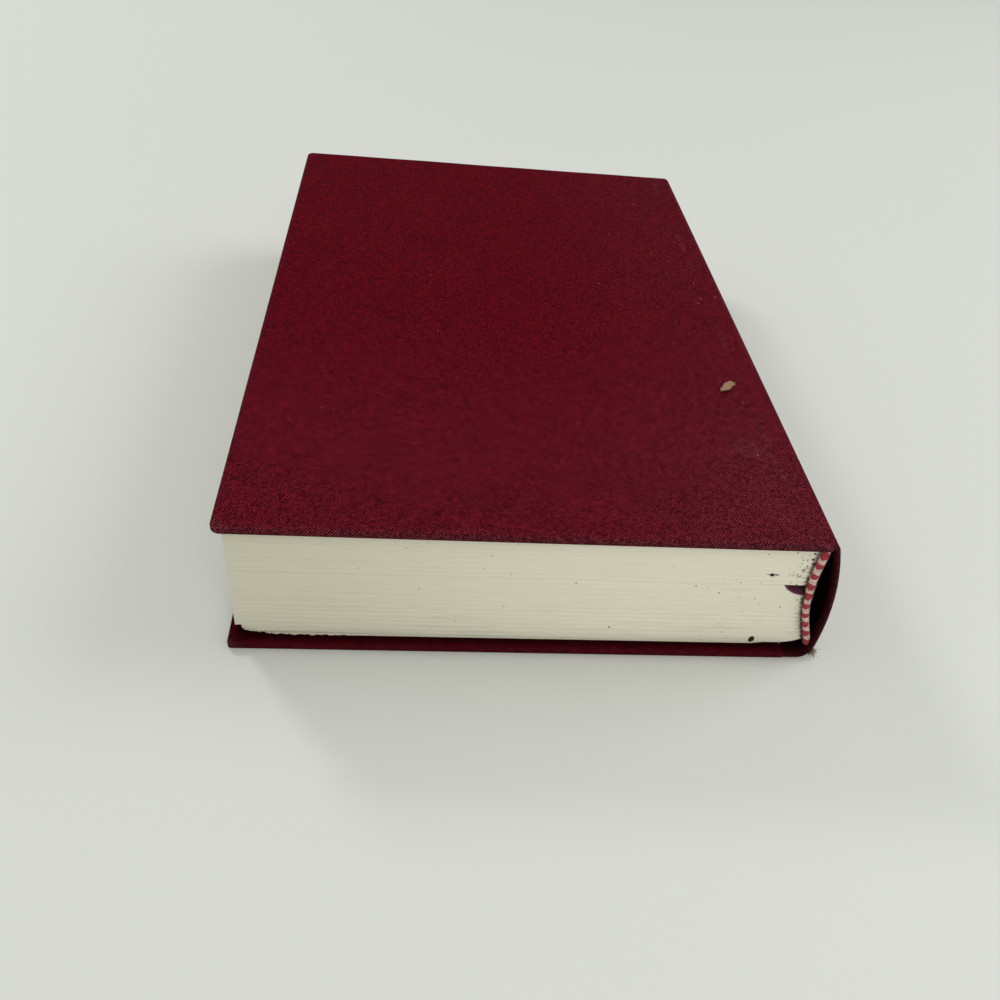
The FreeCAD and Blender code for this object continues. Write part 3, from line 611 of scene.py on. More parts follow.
def wound_thread(name, colour, soiled, thread):
    """Mercerised cotton wound round a cord: soft highlights and fine twisted strands."""
    material, tree = start_material(name)
    lie = add_node(tree, "ShaderNodeUVMap", uv_map="lie").outputs["UV"]
    strand = stretched_noise(tree, lie, (0.6 * MM, 0.5 * thread, 1.0), 2.0)
    cloud = stretched_noise(tree, lie, (1.1 * MM, 0.9 * MM, 1.0), 3.0)
    factor = math_node(
        tree, "MULTIPLY_ADD", math_node(tree, "ADD", strand, cloud), 1.9, -1.25)
    clamped = add_node(tree, "ShaderNodeClamp", {0: factor}).outputs[0]
    mixed = blend_colours(tree, clamped, tuple(soiled), tuple(colour))
    end_material(tree, mixed, strand, 0.06 * MM, Roughness=0.7, IOR=1.5)
    return material


def grained(name, code, dark_code, size, depth, roughness, detail=4.0):
    """Fibrous or gritty stuff with grains of one size in metres, from a light and a dark tone."""
    material, tree = start_material(name)
    place = add_node(tree, "ShaderNodeTexCoord").outputs["Object"]
    grain = stretched_noise(tree, place, size, detail)
    colour = blend_colours(tree, grain, linear(code), linear(dark_code))
    end_material(tree, colour, grain, depth, Roughness=roughness, IOR=1.45)
    return material


# Cloth on the covers and the spine


def rim_profile(edge, count):
    """Way over a board's edge from the top face to the under face: a quarter turn of radius
    edge, a straight side and a second quarter turn. Gives the reach outwards, the height and
    the distance run."""
    turn = np.linspace(0.0, np.pi / 2, count)
    side = PANEL - 2 * edge
    reach = np.concatenate([edge * np.sin(turn), edge * np.cos(turn)])
    height = np.concatenate([PANEL - edge + edge * np.cos(turn), edge - edge * np.sin(turn)])
    run = np.concatenate([edge * turn, edge * np.pi / 2 + side + edge * turn])
    return reach, height, run


def cover_surface(edge, corner):
    """Cloth round a cover that lies with its underside at Z 0, and how the cloth lies on it.

    Rings run round the board at each distance from the hinge line: the top face, the tail's
    rim, the under face and the head's rim. Near the fore-edge they follow the corner's arc
    inwards, and then the rim's own profile over the fore-edge.
    """
    bend = corner - edge
    inner_half = COVER_HALF - edge
    inner_fore = FORE_X + edge
    quarter = 7
    reach, height, run = rim_profile(edge, quarter)
    last = len(reach) - 1
    corner_x = inner_fore + bend * (1 - np.cos(np.linspace(np.pi / 2, 0.0, 9)))
    flat_x = np.concatenate([np.linspace(HINGE_X, inner_fore + bend, 110)[:-1], corner_x])
    v = np.linspace(-1.0, 1.0, 131)
    rings, lies = [], []

    def add_ring(top, under, half, rim, u, rim_u, rim_v):
        """One ring from the (x, z) of its two faces and the three coordinates of its rim."""
        y = v * half
        level = np.ones_like(v)
        faces = [np.stack([level * x, y, level * z], -1) for x, z in (top, under)]
        head = rim * (1, -1, 1)
        rings.append(np.concatenate([faces[0], rim, faces[1][::-1], head[::-1]]))
        under_v = np.where(v < 0, -1.0, 1.0) * (rim_v[-1] + half - np.abs(y))
        lies.append(np.concatenate([
            np.stack([level * u, y], -1), np.stack([rim_u, rim_v], -1),
            np.stack([level * u, under_v], -1)[::-1], np.stack([rim_u, -rim_v], -1)[::-1]]))

    for x in flat_x:
        u = min(max((x - inner_fore) / bend, 0.0), 1.0)
        out = (u - 1, math.sqrt(1 - (1 - u) ** 2))
        half = inner_half - bend + bend * out[1]
        rim = np.stack([x + out[0] * reach, half + out[1] * reach, height], -1)
        add_ring((x, PANEL), (x, 0.0), half, rim, x, np.full_like(run, x), half + run)
    half = inner_half - bend
    for i in range(1, quarter):
        place = np.clip(np.arange(last + 1), i, last - i)
        x = inner_fore - reach[place]
        rim = np.stack([x, np.full_like(x, half), height[place]], -1)
        add_ring(
            (inner_fore - reach[i], height[i]), (inner_fore - reach[last - i], height[last - i]),
            half, rim, inner_fore - run[i], inner_fore - run[place], np.full_like(x, half))
    ring = np.array(rings)
    rows, columns = ring.shape[:2]
    opposite = 2 * len(v) + last
    faces = np.concatenate([
        grid_quads(rows, columns, ring=True),
        end_caps(rows, columns, -quarter, len(v) + quarter - 1, opposite)])
    return ring.reshape(-1, 3), faces, np.array(lies).reshape(-1, 2)


def cover_wear_and_sheen(points, front):
    """Rubbing of a cover's cloth: strongest on rims and corners, with a scuffed line beside
    the spine of the front cover. On the front cover it also pales towards the spine and the
    near edge, partly dust and partly painted sheen."""
    x, y = points[:, 0], points[:, 1]
    to_head = COVER_HALF - np.abs(y)
    rim = np.exp(-np.clip(np.minimum(to_head, x - FORE_X), 0, None) / (0.5 * MM))
    wear_and_sheen = (0.20 if front else 0.08) * rim
    wear_and_sheen += 0.25 * np.exp(-(np.hypot(x - FORE_X, to_head) / (2.5 * MM)) ** 2)
    if front:
        scuff = np.exp(-((x - (HINGE_X - 5.5 * MM)) / (0.7 * MM)) ** 2)
        wear_and_sheen += 0.12 * scuff * np.clip(wander(y, 4, (23 * MM, 61 * MM), 1.6), 0, 1)
        # Paler towards the spine and the near edge: partly dust, partly painted sheen.
        wear_and_sheen += 0.05 * smooth(x, 0.0, HINGE_X) + 0.06 * smooth(-y, 0.0, COVER_HALF)
        # A rubbed patch near the spine, and the paler corner beside it, partly dust and partly painted sheen.
        patch = np.exp(-((x - 0.0585) / (5 * MM)) ** 2 - ((y + 0.0735) / (5 * MM)) ** 2)
        wear_and_sheen += 0.16 * patch * np.clip(0.6 + wander(x + 0.7 * y, 6, (2.1 * MM, 5 * MM), 0.6), 0, 1)
        wear_and_sheen += 0.06 * np.exp(-np.hypot(x - HINGE_X, y + COVER_HALF) / (30 * MM))
    return np.clip(wear_and_sheen, 0, 1)


class BOOK_OT_covers(bpy.types.Operator):
    """Wrap both boards in cloth"""

    bl_idname = "book.covers"
    bl_label = "Cover cloth"

    def execute(self, context):
        look = context.scene.book_cloth
        cloth = bpy.data.materials["Plain-woven book cloth"]
        for side in ("front", "back"):
            front = side == "front"
            corner = look.front_corner if front else look.back_corner
            edge = look.edge_radius if front else look.back_edge_radius
            points, faces, lie = cover_surface(edge, corner)
            if front:
                lift = wander(points[:, 0], 11, (90 * MM, 37 * MM), look.unevenness)
                lift += wander(points[:, 1], 12, (120 * MM, 47 * MM), look.unevenness)
                calm = smooth(HINGE_X - points[:, 0], 0.0, 12 * MM) * points[:, 2] / PANEL
                points[:, 2] += TOTAL - PANEL - np.abs(lift) * calm
            else:
                points[:, 2] = PANEL - points[:, 2]
            # Painted shade: the rims are darkened, and on the back cover the face under the pages is darkened
            # more, most of all away from its rim.
            to_rim = np.minimum(points[:, 0] - FORE_X, COVER_HALF - np.abs(points[:, 1]))
            rim = np.exp(-(to_rim / (0.55 * MM)) ** 2)
            inside = smooth(np.abs(points[:, 2] - (TOTAL if front else 0)), 0.9 * PANEL, PANEL)
            if front:
                painted_shade = 0.15 * rim
            else:
                close = smooth(to_rim, 0.2 * MM, 2.8 * MM)
                painted_shade = 0.35 * (1 - inside) + (0.45 + 0.45 * close) * inside
            made = put_mesh(
                side + "_cover_skin", points, faces, cloth, lie,
                {"wear_and_sheen": cover_wear_and_sheen(points, front), "painted_shade": painted_shade})
            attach(made, side + "_cover")
            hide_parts(side + "_cover_cloth")
        return {"FINISHED"}


def spine_path(look):
    """Outside of the spine from the front hinge line to the back one: the front corner, the
    long round, the back corner and the flat foot. Gives each point's x and z, its outward
    direction and the distance run."""
    front, long_round, back = look.front_radius, look.round_radius, look.back_radius
    front_z = TOTAL - look.clearance - front
    centre = Vector((
        HINGE_X - (long_round - front) * math.cos(look.lean),
        front_z - (long_round - front) * math.sin(look.lean)))
    back_x = centre.x + math.sqrt((long_round - back) ** 2 - (centre.y - back) ** 2)
    turn = math.atan2(back - centre.y, back_x - centre.x)
    arcs = [
        (HINGE_X, front_z, front, math.pi / 2, look.lean, 10),
        (centre.x, centre.y, long_round, look.lean, turn, 64),
        (back_x, back, back, turn, -math.pi / 2, 18),
    ]
    rows = []
    for x, z, radius, start, end, count in arcs:
        angle = np.linspace(start, end, count + 1)[:-1]
        rows.append(np.stack([
            x + radius * np.cos(angle), z + radius * np.sin(angle), np.cos(angle),
            np.sin(angle)], -1))
    foot = np.linspace(back_x, HINGE_X, 4)
    rows.append(np.stack([foot, 0 * foot, 0 * foot, 0 * foot - 1], -1))
    path = np.concatenate(rows)
    run = np.concatenate([[0], np.cumsum(np.hypot(*np.diff(path[:, :2], axis=0).T))])
    return path, run


def spine_section(look):
    """Cross-section of the spine's cloth along Y as depth under its outside: the outside, a
    half-round fold at the tail, the inside with its turned-in lips and the stretch that the
    card hides, and the fold at the head. Gives depth, y and the way over the cloth."""
    fold = look.wall / 2
    end = COVER_HALF - fold
    lip = COVER_HALF - look.turn_in
    y_lip = steps(end, lip, 24, 0.8)
    y_card = np.linspace(-lip, lip, 20)
    run = np.concatenate([-y_lip, y_card, y_lip[::-1]])
    inside = np.where(np.arange(len(run)) < len(y_lip), look.wall, look.card_depth)
    inside = np.maximum(inside, inside[::-1])
    turn = np.linspace(0.0, np.pi, 14)[1:-1]
    depth = np.concatenate([
        0 * run, fold * (1 - np.cos(turn)), inside, fold * (1 + np.cos(turn))])
    y = np.concatenate([
        run, end + fold * np.sin(turn), run[::-1], -end - fold * np.sin(turn)])
    back_way = np.sign(run) * (end + fold * np.pi + end - np.abs(run))
    way = np.concatenate([
        run, end + fold * turn, back_way[::-1], -end - fold * (np.pi - turn)])
    return depth, y, way, len(run)


class BOOK_OT_spine(bpy.types.Operator):
    """Wrap the spine in cloth, turned in at head and tail"""

    bl_idname = "book.spine"
    bl_label = "Spine cloth"

    def execute(self, context):
        look = context.scene.book_spine
        path, run = spine_path(look)
        depth, y, way, face_count = spine_section(look)
        shape = (len(path), len(depth))
        depth = np.broadcast_to(depth, shape)
        y = np.broadcast_to(y, shape)
        # The turned-in cloth lies unevenly, most of all in the lower half.
        fold_line = np.broadcast_to(run[:, None], shape)
        uneven = wander(fold_line, 21, (7 * MM, 3.1 * MM), 0.10 * MM)
        uneven = uneven * smooth(fold_line, 4 * MM, 20 * MM) * smooth(np.abs(y), 0.08, 0.1)
        depth = depth + np.abs(uneven) * smooth(depth, 0.3 * look.wall, look.wall)
        points = np.stack([
            path[:, :1] - path[:, 2:3] * depth, y, path[:, 1:2] - path[:, 3:4] * depth], -1)
        lie = np.stack([HINGE_X + fold_line, np.broadcast_to(way, shape)], -1)
        to_end = COVER_HALF - np.abs(y)
        wear_and_sheen = 0.16 * np.exp(-to_end / (0.7 * MM)) + 0.12
        # Painted shade: the cloth is darker at the head and tail ends and on its inner side in the hollow.
        under = smooth(depth, 0.2 * look.wall, look.wall)
        painted_shade = 0.35 * np.exp(-to_end / (0.9 * MM)) + under * (
            0.55 + 0.4 * smooth(to_end, 0.8 * MM, 2.5 * MM))
        faces = np.concatenate([
            grid_quads(*shape, ring=True),
            end_caps(*shape, -6, face_count + 5, 2 * face_count + 11)])
        made = put_mesh(
            "spine_skin", points, faces, bpy.data.materials["Plain-woven book cloth"], lie,
            {"wear_and_sheen": wear_and_sheen, "painted_shade": painted_shade})
        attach(made, "book_block")
        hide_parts("spine_cloth")
        return {"FINISHED"}


# Pages


def back_centre(look):
    """Centre of the curve of the backs, as x and z."""
    return HINGE_X - look.back_inset + look.back_radius, PAGES_TOP - look.back_sink


def back_line(z, look):
    """x of the backs of the pages at height z: a circle's arc with a valley between folds."""
    x, level = back_centre(look)
    share = (z - PAGES_BASE - look.last_leaf_rise) / (
        PAGES_TOP - PAGES_BASE - look.last_leaf_rise)
    valley = look.fold_depth * np.abs(np.cos(np.pi * look.sections * share)) ** 6
    return x - np.sqrt(look.back_radius ** 2 - (z - level) ** 2) - valley


def underside(x, look):
    """Height of the last leaf: flat, then a circle's arc up towards the spine."""
    centre_x, level = back_centre(look)
    lowest = PAGES_BASE + look.last_leaf_rise
    back_x = centre_x - math.sqrt(look.back_radius ** 2 - (lowest - level) ** 2)
    lift = math.acos(1 - look.last_leaf_rise / look.last_leaf_radius)
    start = back_x - look.last_leaf_radius * math.sin(lift)
    reach = np.clip(x - start, 0.0, 0.9 * look.last_leaf_radius)
    return PAGES_BASE + look.last_leaf_radius - np.sqrt(look.last_leaf_radius ** 2 - reach ** 2)


def dent_gap(x, y, look):
    """Height of the dent under its flat roof: a circle's arc that opens towards the spine,
    with a thin open gap between two leaves beside it. It closes beyond the dent's length."""
    centre = look.curl_radius - look.drop
    reach = np.clip(HINGE_X - x, 0.0, look.curl_radius)
    wedge = np.sqrt(look.curl_radius ** 2 - reach ** 2) - centre
    start = HINGE_X - math.sqrt(look.curl_radius ** 2 - centre ** 2)
    thin = 0.10 * MM * smooth(x, start - look.gap_length, start)
    beyond = smooth(y - HEAD_Y, look.dent_length, 3.5 * look.dent_length)
    return (np.maximum(wedge, 0.0) + thin) * (1 - beyond), start


def round_corner(x, y, width, length):
    """Move points out of the corner at head and fore-edge onto a quarter of an ellipse of the
    given width along X and length along Y."""
    dx, dy = (PAGES_FORE + width - x) / width, (HEAD_Y + length - y) / length
    far = np.hypot(dx, dy)
    outside = (dx > 0) & (dy > 0) & (far > 1)
    scale = np.where(outside, 1 / np.where(outside, far, 1.0), 1.0)
    return PAGES_FORE + width - width * dx * scale, HEAD_Y + length - length * dy * scale


def pages_surface(look, ribbon):
    """Sewn pages as a block of rows of leaves: a lower bundle, the dent, and an upper bundle.

    Each row's height is a share of its bundle's thickness there, so the rows follow the lifted
    last leaves and the dent. The cut edges are recessed by an irregular line per row, deepest
    between sections, and the dent's rows are pushed in from the head.
    """
    low, band, up = 112, 6, 78
    counts, faces = box_surface(150, 34, low + band + up)
    i, j, k = counts.T
    along = np.concatenate([np.linspace(0, 0.8, 66)[:-1], np.linspace(0.8, 1, 86)])[i]
    back = (1 - np.cos(np.linspace(0, np.pi, 35))) / 2
    depth = back[j]
    low_share = np.clip(k / low, 0, 1)
    band_share = np.clip((k - low - 1) / (band - 2), 0, 1)
    up_share = np.clip((k - low - band) / up, 0, 1)
    pushed = (k > low) & (k < low + band)
    roof = PAGES_TOP - ribbon.level
    thickness = PAGES_TOP - PAGES_BASE
    leaf = (roof - PAGES_BASE) * low_share + (PAGES_TOP - roof) * up_share
    x = PAGES_FORE + along * (back_line(PAGES_BASE + leaf, look) - PAGES_FORE)
    y = HEAD_Y + depth * (TAIL_Y - HEAD_Y)
    for _ in range(2):
        gap, start = dent_gap(x, y, ribbon)
        bottom = underside(x, look)
        sag = 0.45 * MM * smooth(x, PAGES_FORE - 1 * MM, PAGES_FORE + 3 * MM)
        sag = sag * (1 - smooth(x, PAGES_FORE + 18 * MM, PAGES_FORE + 42 * MM))
        bottom = bottom + sag * (1 - smooth(y, HEAD_Y + 4 * MM, HEAD_Y + 30 * MM))
        z = bottom + low_share * (roof - bottom) - gap * low_share ** 5
        z = z + band_share * gap * (k > low)
        z = np.where(k >= low + band, roof + up_share * (PAGES_TOP - roof), z)
        x = PAGES_FORE + along * (back_line(z, look) - PAGES_FORE)
    push = np.where(x > start, ribbon.dent_length, 2 * MM * smooth(
        x, start - ribbon.gap_length, start - 0.5 * ribbon.gap_length))
    rng = np.random.default_rng(7)
    row = rng.random(low + band + up + 1)
    cut = look.leaf_relief * (0.25 + 0.75 * row[k])
    cut = cut + 0.35 * look.leaf_relief * (1 + wander(x, 3, (23 * MM, 9 * MM, 41 * MM), 1.0))
    section = np.abs(np.cos(np.pi * look.sections * leaf / thickness)) ** 24
    deep = np.random.default_rng(9).random(look.sections + 1)
    near = deep[np.round(look.sections * leaf / thickness).astype(int)]
    cut = cut + 2.0 * look.leaf_relief * section * near
    to_back = back_line(z, look) - x
    open_fold = smooth(near, 0.45, 0.75)
    cut = cut + 0.4 * MM * section * open_fold * (
        1 - smooth(to_back, 0.8 * MM, (1 + 1.5 * near) * MM))
    head = HEAD_Y + cut + push * pushed
    tail = TAIL_Y - cut
    y = head + depth * (tail - head)
    fore = look.leaf_relief * (0.25 + 0.75 * row[::-1][k]) + 2 * look.leaf_relief * section * near
    x = x + fore * (1 - smooth(along, 0.0, 0.02))
    torn = 1 - smooth(z - PAGES_BASE, 2.75 * MM, 2.95 * MM)
    torn = torn + 0.4 * (1 - smooth(z - PAGES_BASE, 0.9 * MM, 1.6 * MM))
    x, y = round_corner(x, y, (0.15 + 2.2 * torn) * MM, (0.15 + 6.5 * torn) * MM)
    turned = np.where((i == 0) & (j > 0), HEAD_Y - y, 0) + np.where(
        (i == 150) & (j > 0), y - HEAD_Y, 0)
    lie = np.stack([x + turned, PAGES_BASE + leaf], -1)
    on_head = np.exp(-np.clip(y - HEAD_Y, 0, None) / (2 * MM))
    corner = np.hypot(x - HINGE_X, 0.6 * (z - (PAGES_TOP - 7 * MM)))
    soil = 0.004 + 0.30 * np.exp(-(corner / (4.2 * MM)) ** 2)
    soil = soil + 0.06 * smooth(x, 40 * MM, 68 * MM) + 0.4 * np.exp(-to_back / (0.9 * MM))
    # Painted shade in the creases between sections near the backs, and a dark line beside the bead that is
    # partly glue and partly painted shade.
    between = np.abs(np.cos(np.pi * look.sections * leaf / thickness)) ** 22
    glue_and_crease_shade = between * (1 - smooth(to_back, 0.8 * MM, (1.5 + 1.5 * near) * MM))
    glue_and_crease_shade = 0.6 * glue_and_crease_shade * smooth(near, 0.45, 0.75)
    hugging = 0.7 + wander(leaf, 41, (1.1 * MM, 2.7 * MM, 6 * MM), 0.5)
    # The bead has come away from the lower leaves, where the open gap beside it is shaded by the geometry, so
    # the dark line beside the bead, partly glue and partly painted shade, is kept narrower there.
    freed = 0.75 * MM * smooth((PAGES_TOP - z) / thickness, 0.45, 0.8)
    glue_and_crease_shade = np.maximum(glue_and_crease_shade, hugging * (1 - smooth(to_back + freed, 0.85 * MM, 1.15 * MM)))
    # Painted shade, darker towards the fore-edge.
    painted_fore_shade = 0.62 * (1 - smooth(x, PAGES_FORE - 10 * MM, PAGES_FORE + 125 * MM)) ** 1.3
    values = {"soil": soil * on_head, "glue_and_crease_shade": glue_and_crease_shade * on_head, "painted_fore_shade": painted_fore_shade}
    return np.stack([x, y, z], -1), faces, lie, values


class BOOK_OT_pages(bpy.types.Operator):
    """Build the sewn pages with their cut edges"""

    bl_idname = "book.pages"
    bl_label = "Pages"

    def execute(self, context):
        scene = context.scene
        points, faces, lie, values = pages_surface(scene.book_pages, scene.book_ribbon)
        made = put_mesh(
            "pages", points, faces, bpy.data.materials["Cut book paper"], lie, values, 55.0)
        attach(made, "book_block")
        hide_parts("text_block")
        return {"FINISHED"}


def flat_sheet(low, high):
    """Plain sheet that fills the box between two corners."""
    x, y = np.meshgrid((low.x, high.x), (low.y, high.y), indexing="ij")
    return closed_sheet(*[np.stack([x, y, 0 * x + z], -1) for z in (high.z, low.z)])


def chipped_sheet(low, high, seed, lost, spread, width):
    """Half of the back endpaper between two corners: its head edge runs back from the fore-edge
    by the lost depth over about the spread, raggedly, and the corner is gone over the width."""
    x = np.concatenate([
        np.linspace(low.x, low.x + 46 * MM, 180)[:-1],
        np.linspace(low.x + 46 * MM, high.x, 50)])
    share = steps(0.0, 1.0, 26, 1.2)
    ragged = wander(x, seed, (0.9 * MM, 2.3 * MM, 5.1 * MM), 0.35 * MM)
    from_fore = x - low.x
    chip = lost * np.exp(-(from_fore / spread) ** 1.3)
    chip = chip + ragged * (1 - smooth(from_fore, 20 * MM, 34 * MM)) + 0.15 * MM
    chip = chip + 0.9 * MM * smooth(x, high.x - 9 * MM, high.x)
    y = low.y + chip[:, None] * (1 - share) + share * (high.y - low.y)
    x = np.broadcast_to(x[:, None], y.shape)
    x, y = round_corner(x, y, width, 9.5 * MM)
    return closed_sheet(*[np.stack([x, y, 0 * x + z], -1) for z in (high.z, low.z)])


class BOOK_OT_flyleaf(bpy.types.Operator):
    """Paste down the front endpaper, and build the back one with its chipped edge"""

    bl_idname = "book.flyleaf"
    bl_label = "Endpapers"

    def execute(self, context):
        paper = bpy.data.materials["Uncoated endpaper"]
        chips = {
            "back_flyleaf": (31, 1.9 * MM, 11 * MM, 3.0 * MM),
            "back_pastedown": (33, 2.0 * MM, 4.5 * MM, 3.0 * MM),
        }
        for name, body in (
                ("back_flyleaf", "book_block"), ("back_pastedown", "back_cover"),
                ("front_pastedown", "front_cover")):
            if name in chips:
                points, quads = chipped_sheet(*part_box(name), *chips[name])
            else:
                points, quads = flat_sheet(*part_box(name))
            made = put_mesh(name + "_sheet", points, quads, paper)
            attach(made, body)
            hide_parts(name)
        return {"FINISHED"}


class BOOK_OT_folds(bpy.types.Operator):
    """Fold each endpaper over its hinge, from the flyleaf to the cover"""

    bl_idname = "book.folds"
    bl_label = "Endpaper folds"

    def execute(self, context):
        paper = bpy.data.materials["Uncoated endpaper"]
        for side in ("front", "back"):
            leaf_low, leaf_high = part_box(side + "_flyleaf")
            down_low, down_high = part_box(side + "_pastedown")
            sheet = leaf_high.z - leaf_low.z
            top = side == "front"
            start_z = (leaf_low.z + leaf_high.z) / 2
            end_z = start_z + sheet if top else start_z - sheet
            middle = (start_z + end_z) / 2
            turn = np.linspace(-np.pi / 2, np.pi / 2, 33)
            sign = 1 if top else -1
            y = np.linspace(leaf_low.y, leaf_high.y, 40)
            faces = []
            for radius in (sheet, 0.02 * sheet):
                x = leaf_high.x + radius * np.cos(turn)
                z = middle + sign * radius * np.sin(turn)
                faces.append(np.stack([
                    np.broadcast_to(x, (40, 33)), np.broadcast_to(y[:, None], (40, 33)),
                    np.broadcast_to(z, (40, 33))], -1))
            points, quads = closed_sheet(*faces)
            made = put_mesh(side + "_endpaper_fold", points, quads, paper)
            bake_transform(made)
        return {"FINISHED"}


class BOOK_OT_ribbon(bpy.types.Operator):
    """Lay the satin ribbon in its dent"""

    bl_idname = "book.ribbon"
    bl_label = "Ribbon marker"

    def execute(self, context):
        look = context.scene.book_ribbon
        level = PAGES_TOP - look.level - look.drop + look.curl_radius
        low = math.acos((RIBBON_LOW.x - HINGE_X) / look.curl_radius)
        high = math.acos(0.15 * MM / look.curl_radius)
        turn = np.linspace(low, high, 25)
        y = RIBBON_LOW.y + steps(0.0, 1.0, 60, 1.5) * (RIBBON_HIGH.y - RIBBON_LOW.y)
        grids = []
        for radius in (look.curl_radius - look.thickness, look.curl_radius):
            selvedge = 0.12 * look.thickness * (
                np.exp(-((turn - low) / 0.04) ** 2) + np.exp(-((turn - high) / 0.04) ** 2))
            reach = radius - selvedge if radius < look.curl_radius else radius + 0 * turn
            x = HINGE_X + reach * np.cos(turn)
            z = level - reach * np.sin(turn)
            shape = (len(y), len(turn))
            grids.append(np.stack([
                np.broadcast_to(x, shape), np.broadcast_to(y[:, None], shape),
                np.broadcast_to(z, shape)], -1))
        points, faces = closed_sheet(*grids)
        across = look.curl_radius * (low - turn)
        both = np.concatenate([across, across[::-1]])
        lie = np.stack([
            np.broadcast_to(both, (len(y), len(both))),
            np.broadcast_to(y[:, None], (len(y), len(both)))], -1)
        made = put_mesh(
            "ribbon", points, faces, bpy.data.materials["Satin ribbon"], lie)
        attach(made, "book_block")
        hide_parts("ribbon_marker")
        return {"FINISHED"}


# Bands


def bead_line(look, pages):
    """Start angle, sweep and radius of the bead's middle line about the backs' centre."""
    level = back_centre(pages)[1]
    radius = pages.back_radius - look.offset
    lowest = PAGES_BASE + pages.last_leaf_rise + look.back_margin
    top = math.asin((PAGES_TOP - look.front_margin - level) / radius)
    bottom = math.asin((level - lowest) / radius)
    return top, top + bottom, radius


def bead_place(share, around, out, at_head, look, pages):
    """Points of a bead: share runs down its middle line, around turns about it from the
    pages over the outside, and out is the distance from the middle line."""
    top, sweep, radius = bead_line(look, pages)
    centre_x, level = back_centre(pages)
    angle = top - share * sweep
    side = -1.0 if at_head else 1.0
    end = HEAD_Y if at_head else TAIL_Y
    reach = radius + out * np.cos(around)
    x = centre_x - reach * np.cos(angle)
    y = end + side * (look.radius + out * np.sin(around))
    z = level + reach * np.sin(angle)
    # The last turns have come away from the backs, towards the spine.
    x = x + look.slack * smooth(share, 0.5, 1.0) + 0.25 * look.slack * (1 - smooth(share, 0, 0.3))
    return np.stack(np.broadcast_arrays(x, y, z), -1)


def bead_tube(at_head, look, pages, outer, relief):
    """Tube with domed ends along a bead's middle line, of the given outer radius and rippled
    by its turns of thread by the relief."""
    top, sweep, radius = bead_line(look, pages)
    length = sweep * radius
    dome = look.radius / length
    share = np.concatenate([
        dome * (1 - np.cos(np.linspace(0, np.pi / 2, 7)))[:-1],
        np.linspace(dome, 1 - dome, 340),
        1 - dome * (1 - np.cos(np.linspace(np.pi / 2, 0, 7)))[1:]])
    around = np.linspace(0, 2 * np.pi, 33)[:-1]
    to_end = np.minimum(share, 1 - share)
    full = np.sqrt(np.clip(1 - (1 - np.clip(to_end / dome, 0, 1)) ** 2, 0, 1))
    grid_share, grid_around = np.meshgrid(share, around, indexing="ij")
    slant = grid_share * length + 0.10 * MM * np.sin(grid_around)
    ripple = np.abs(np.sin(np.pi * slant / look.thread))
    out = (outer - relief * (1 - ripple)) * full[:, None]
    points = bead_place(grid_share, grid_around, out, at_head, look, pages)
    lie = np.stack([grid_around * look.radius, grid_share * length], -1)
    return points, grid_quads(len(share), len(around), ring=True), lie


def white_bead(at_head, look, pages):
    """All the white turns of one bead."""
    return bead_tube(at_head, look, pages, look.radius - 0.03 * MM, 0.07 * MM)


def cord_core(at_head, look, pages):
    """Cord that the turns of one bead are wound on."""
    return bead_tube(at_head, look, pages, 0.72 * look.radius, 0.03 * MM)


def red_patches(at_head, look, pages):
    """Lens-shaped patches of red turns on one bead. Each spans half a pitch and thins to
    points on both sides, and it is domed above the white turns and dips under them."""
    top, sweep, radius = bead_line(look, pages)
    length = sweep * radius
    pitch = 1.0 / look.turns
    a = np.linspace(-1, 1, 21)
    b = np.linspace(-1, 1, 25)
    grid_a, grid_b = np.meshgrid(a, b, indexing="ij")
    lens = np.sqrt(np.clip(1 - np.abs(grid_b) ** 1.5, 0, 1))
    rng = np.random.default_rng(5)
    points, faces, lies = [], [], []
    for i in range(look.turns):
        middle = (i + 0.5) * pitch + 0.03 * pitch * rng.uniform(-1, 1)
        size = rng.uniform(0.80, 1.15)
        share = middle + 0.38 * size * pitch * grid_a * (0.25 + 0.75 * lens)
        toward = 0.85 + 0.25 * rng.uniform(-1, 1) if at_head else 0.5 * np.pi
        around = toward + 1.9 * grid_b
        ripple = np.abs(np.sin(np.pi * share * length / look.thread))
        raised = np.clip(1 - np.abs(grid_a) ** 4, 0, 1) * (0.25 + 0.75 * lens)
        out = look.radius - 0.11 * MM + 0.15 * MM * raised - 0.05 * MM * (1 - ripple)
        upper = bead_place(share, around, out, at_head, look, pages)
        lower = bead_place(share, around, 0 * out + 0.7 * look.radius, at_head, look, pages)
        patch, quads = closed_sheet(upper, lower)
        points.append(patch)
        faces.append(quads + i * len(patch))
        lie = np.stack([around * look.radius, share * length], -1)
        lies.append(np.concatenate([lie, lie[:, ::-1]], axis=1).reshape(-1, 2))
    return np.concatenate(points), np.concatenate(faces), np.concatenate(lies)


class BOOK_OT_bands(bpy.types.Operator):
    """Wind the striped beads at head and tail"""

    bl_idname = "book.bands"
    bl_label = "Head and tail bands"

    def execute(self, context):
        look, pages = context.scene.book_band, context.scene.book_pages
        for end in ("head", "tail"):
            for part, finish, slot, build in (
                    ("white_thread", "Wound white cotton", "white_thread", white_bead),
                    ("red_thread", "Wound red cotton", "red_thread", red_patches),
                    ("cord", "Twisted cotton cord", "band_cord", cord_core)):
                points, faces, lie = build(end == "head", look, pages)
                node = "%s_band_%s" % (end, part)
                made = put_mesh(
                    node + "_turns", points, faces, bpy.data.materials[finish], lie, sharp=80.0)
                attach(made, "book_block")
                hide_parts(node)
        return {"FINISHED"}


# Dirt and loose fibres


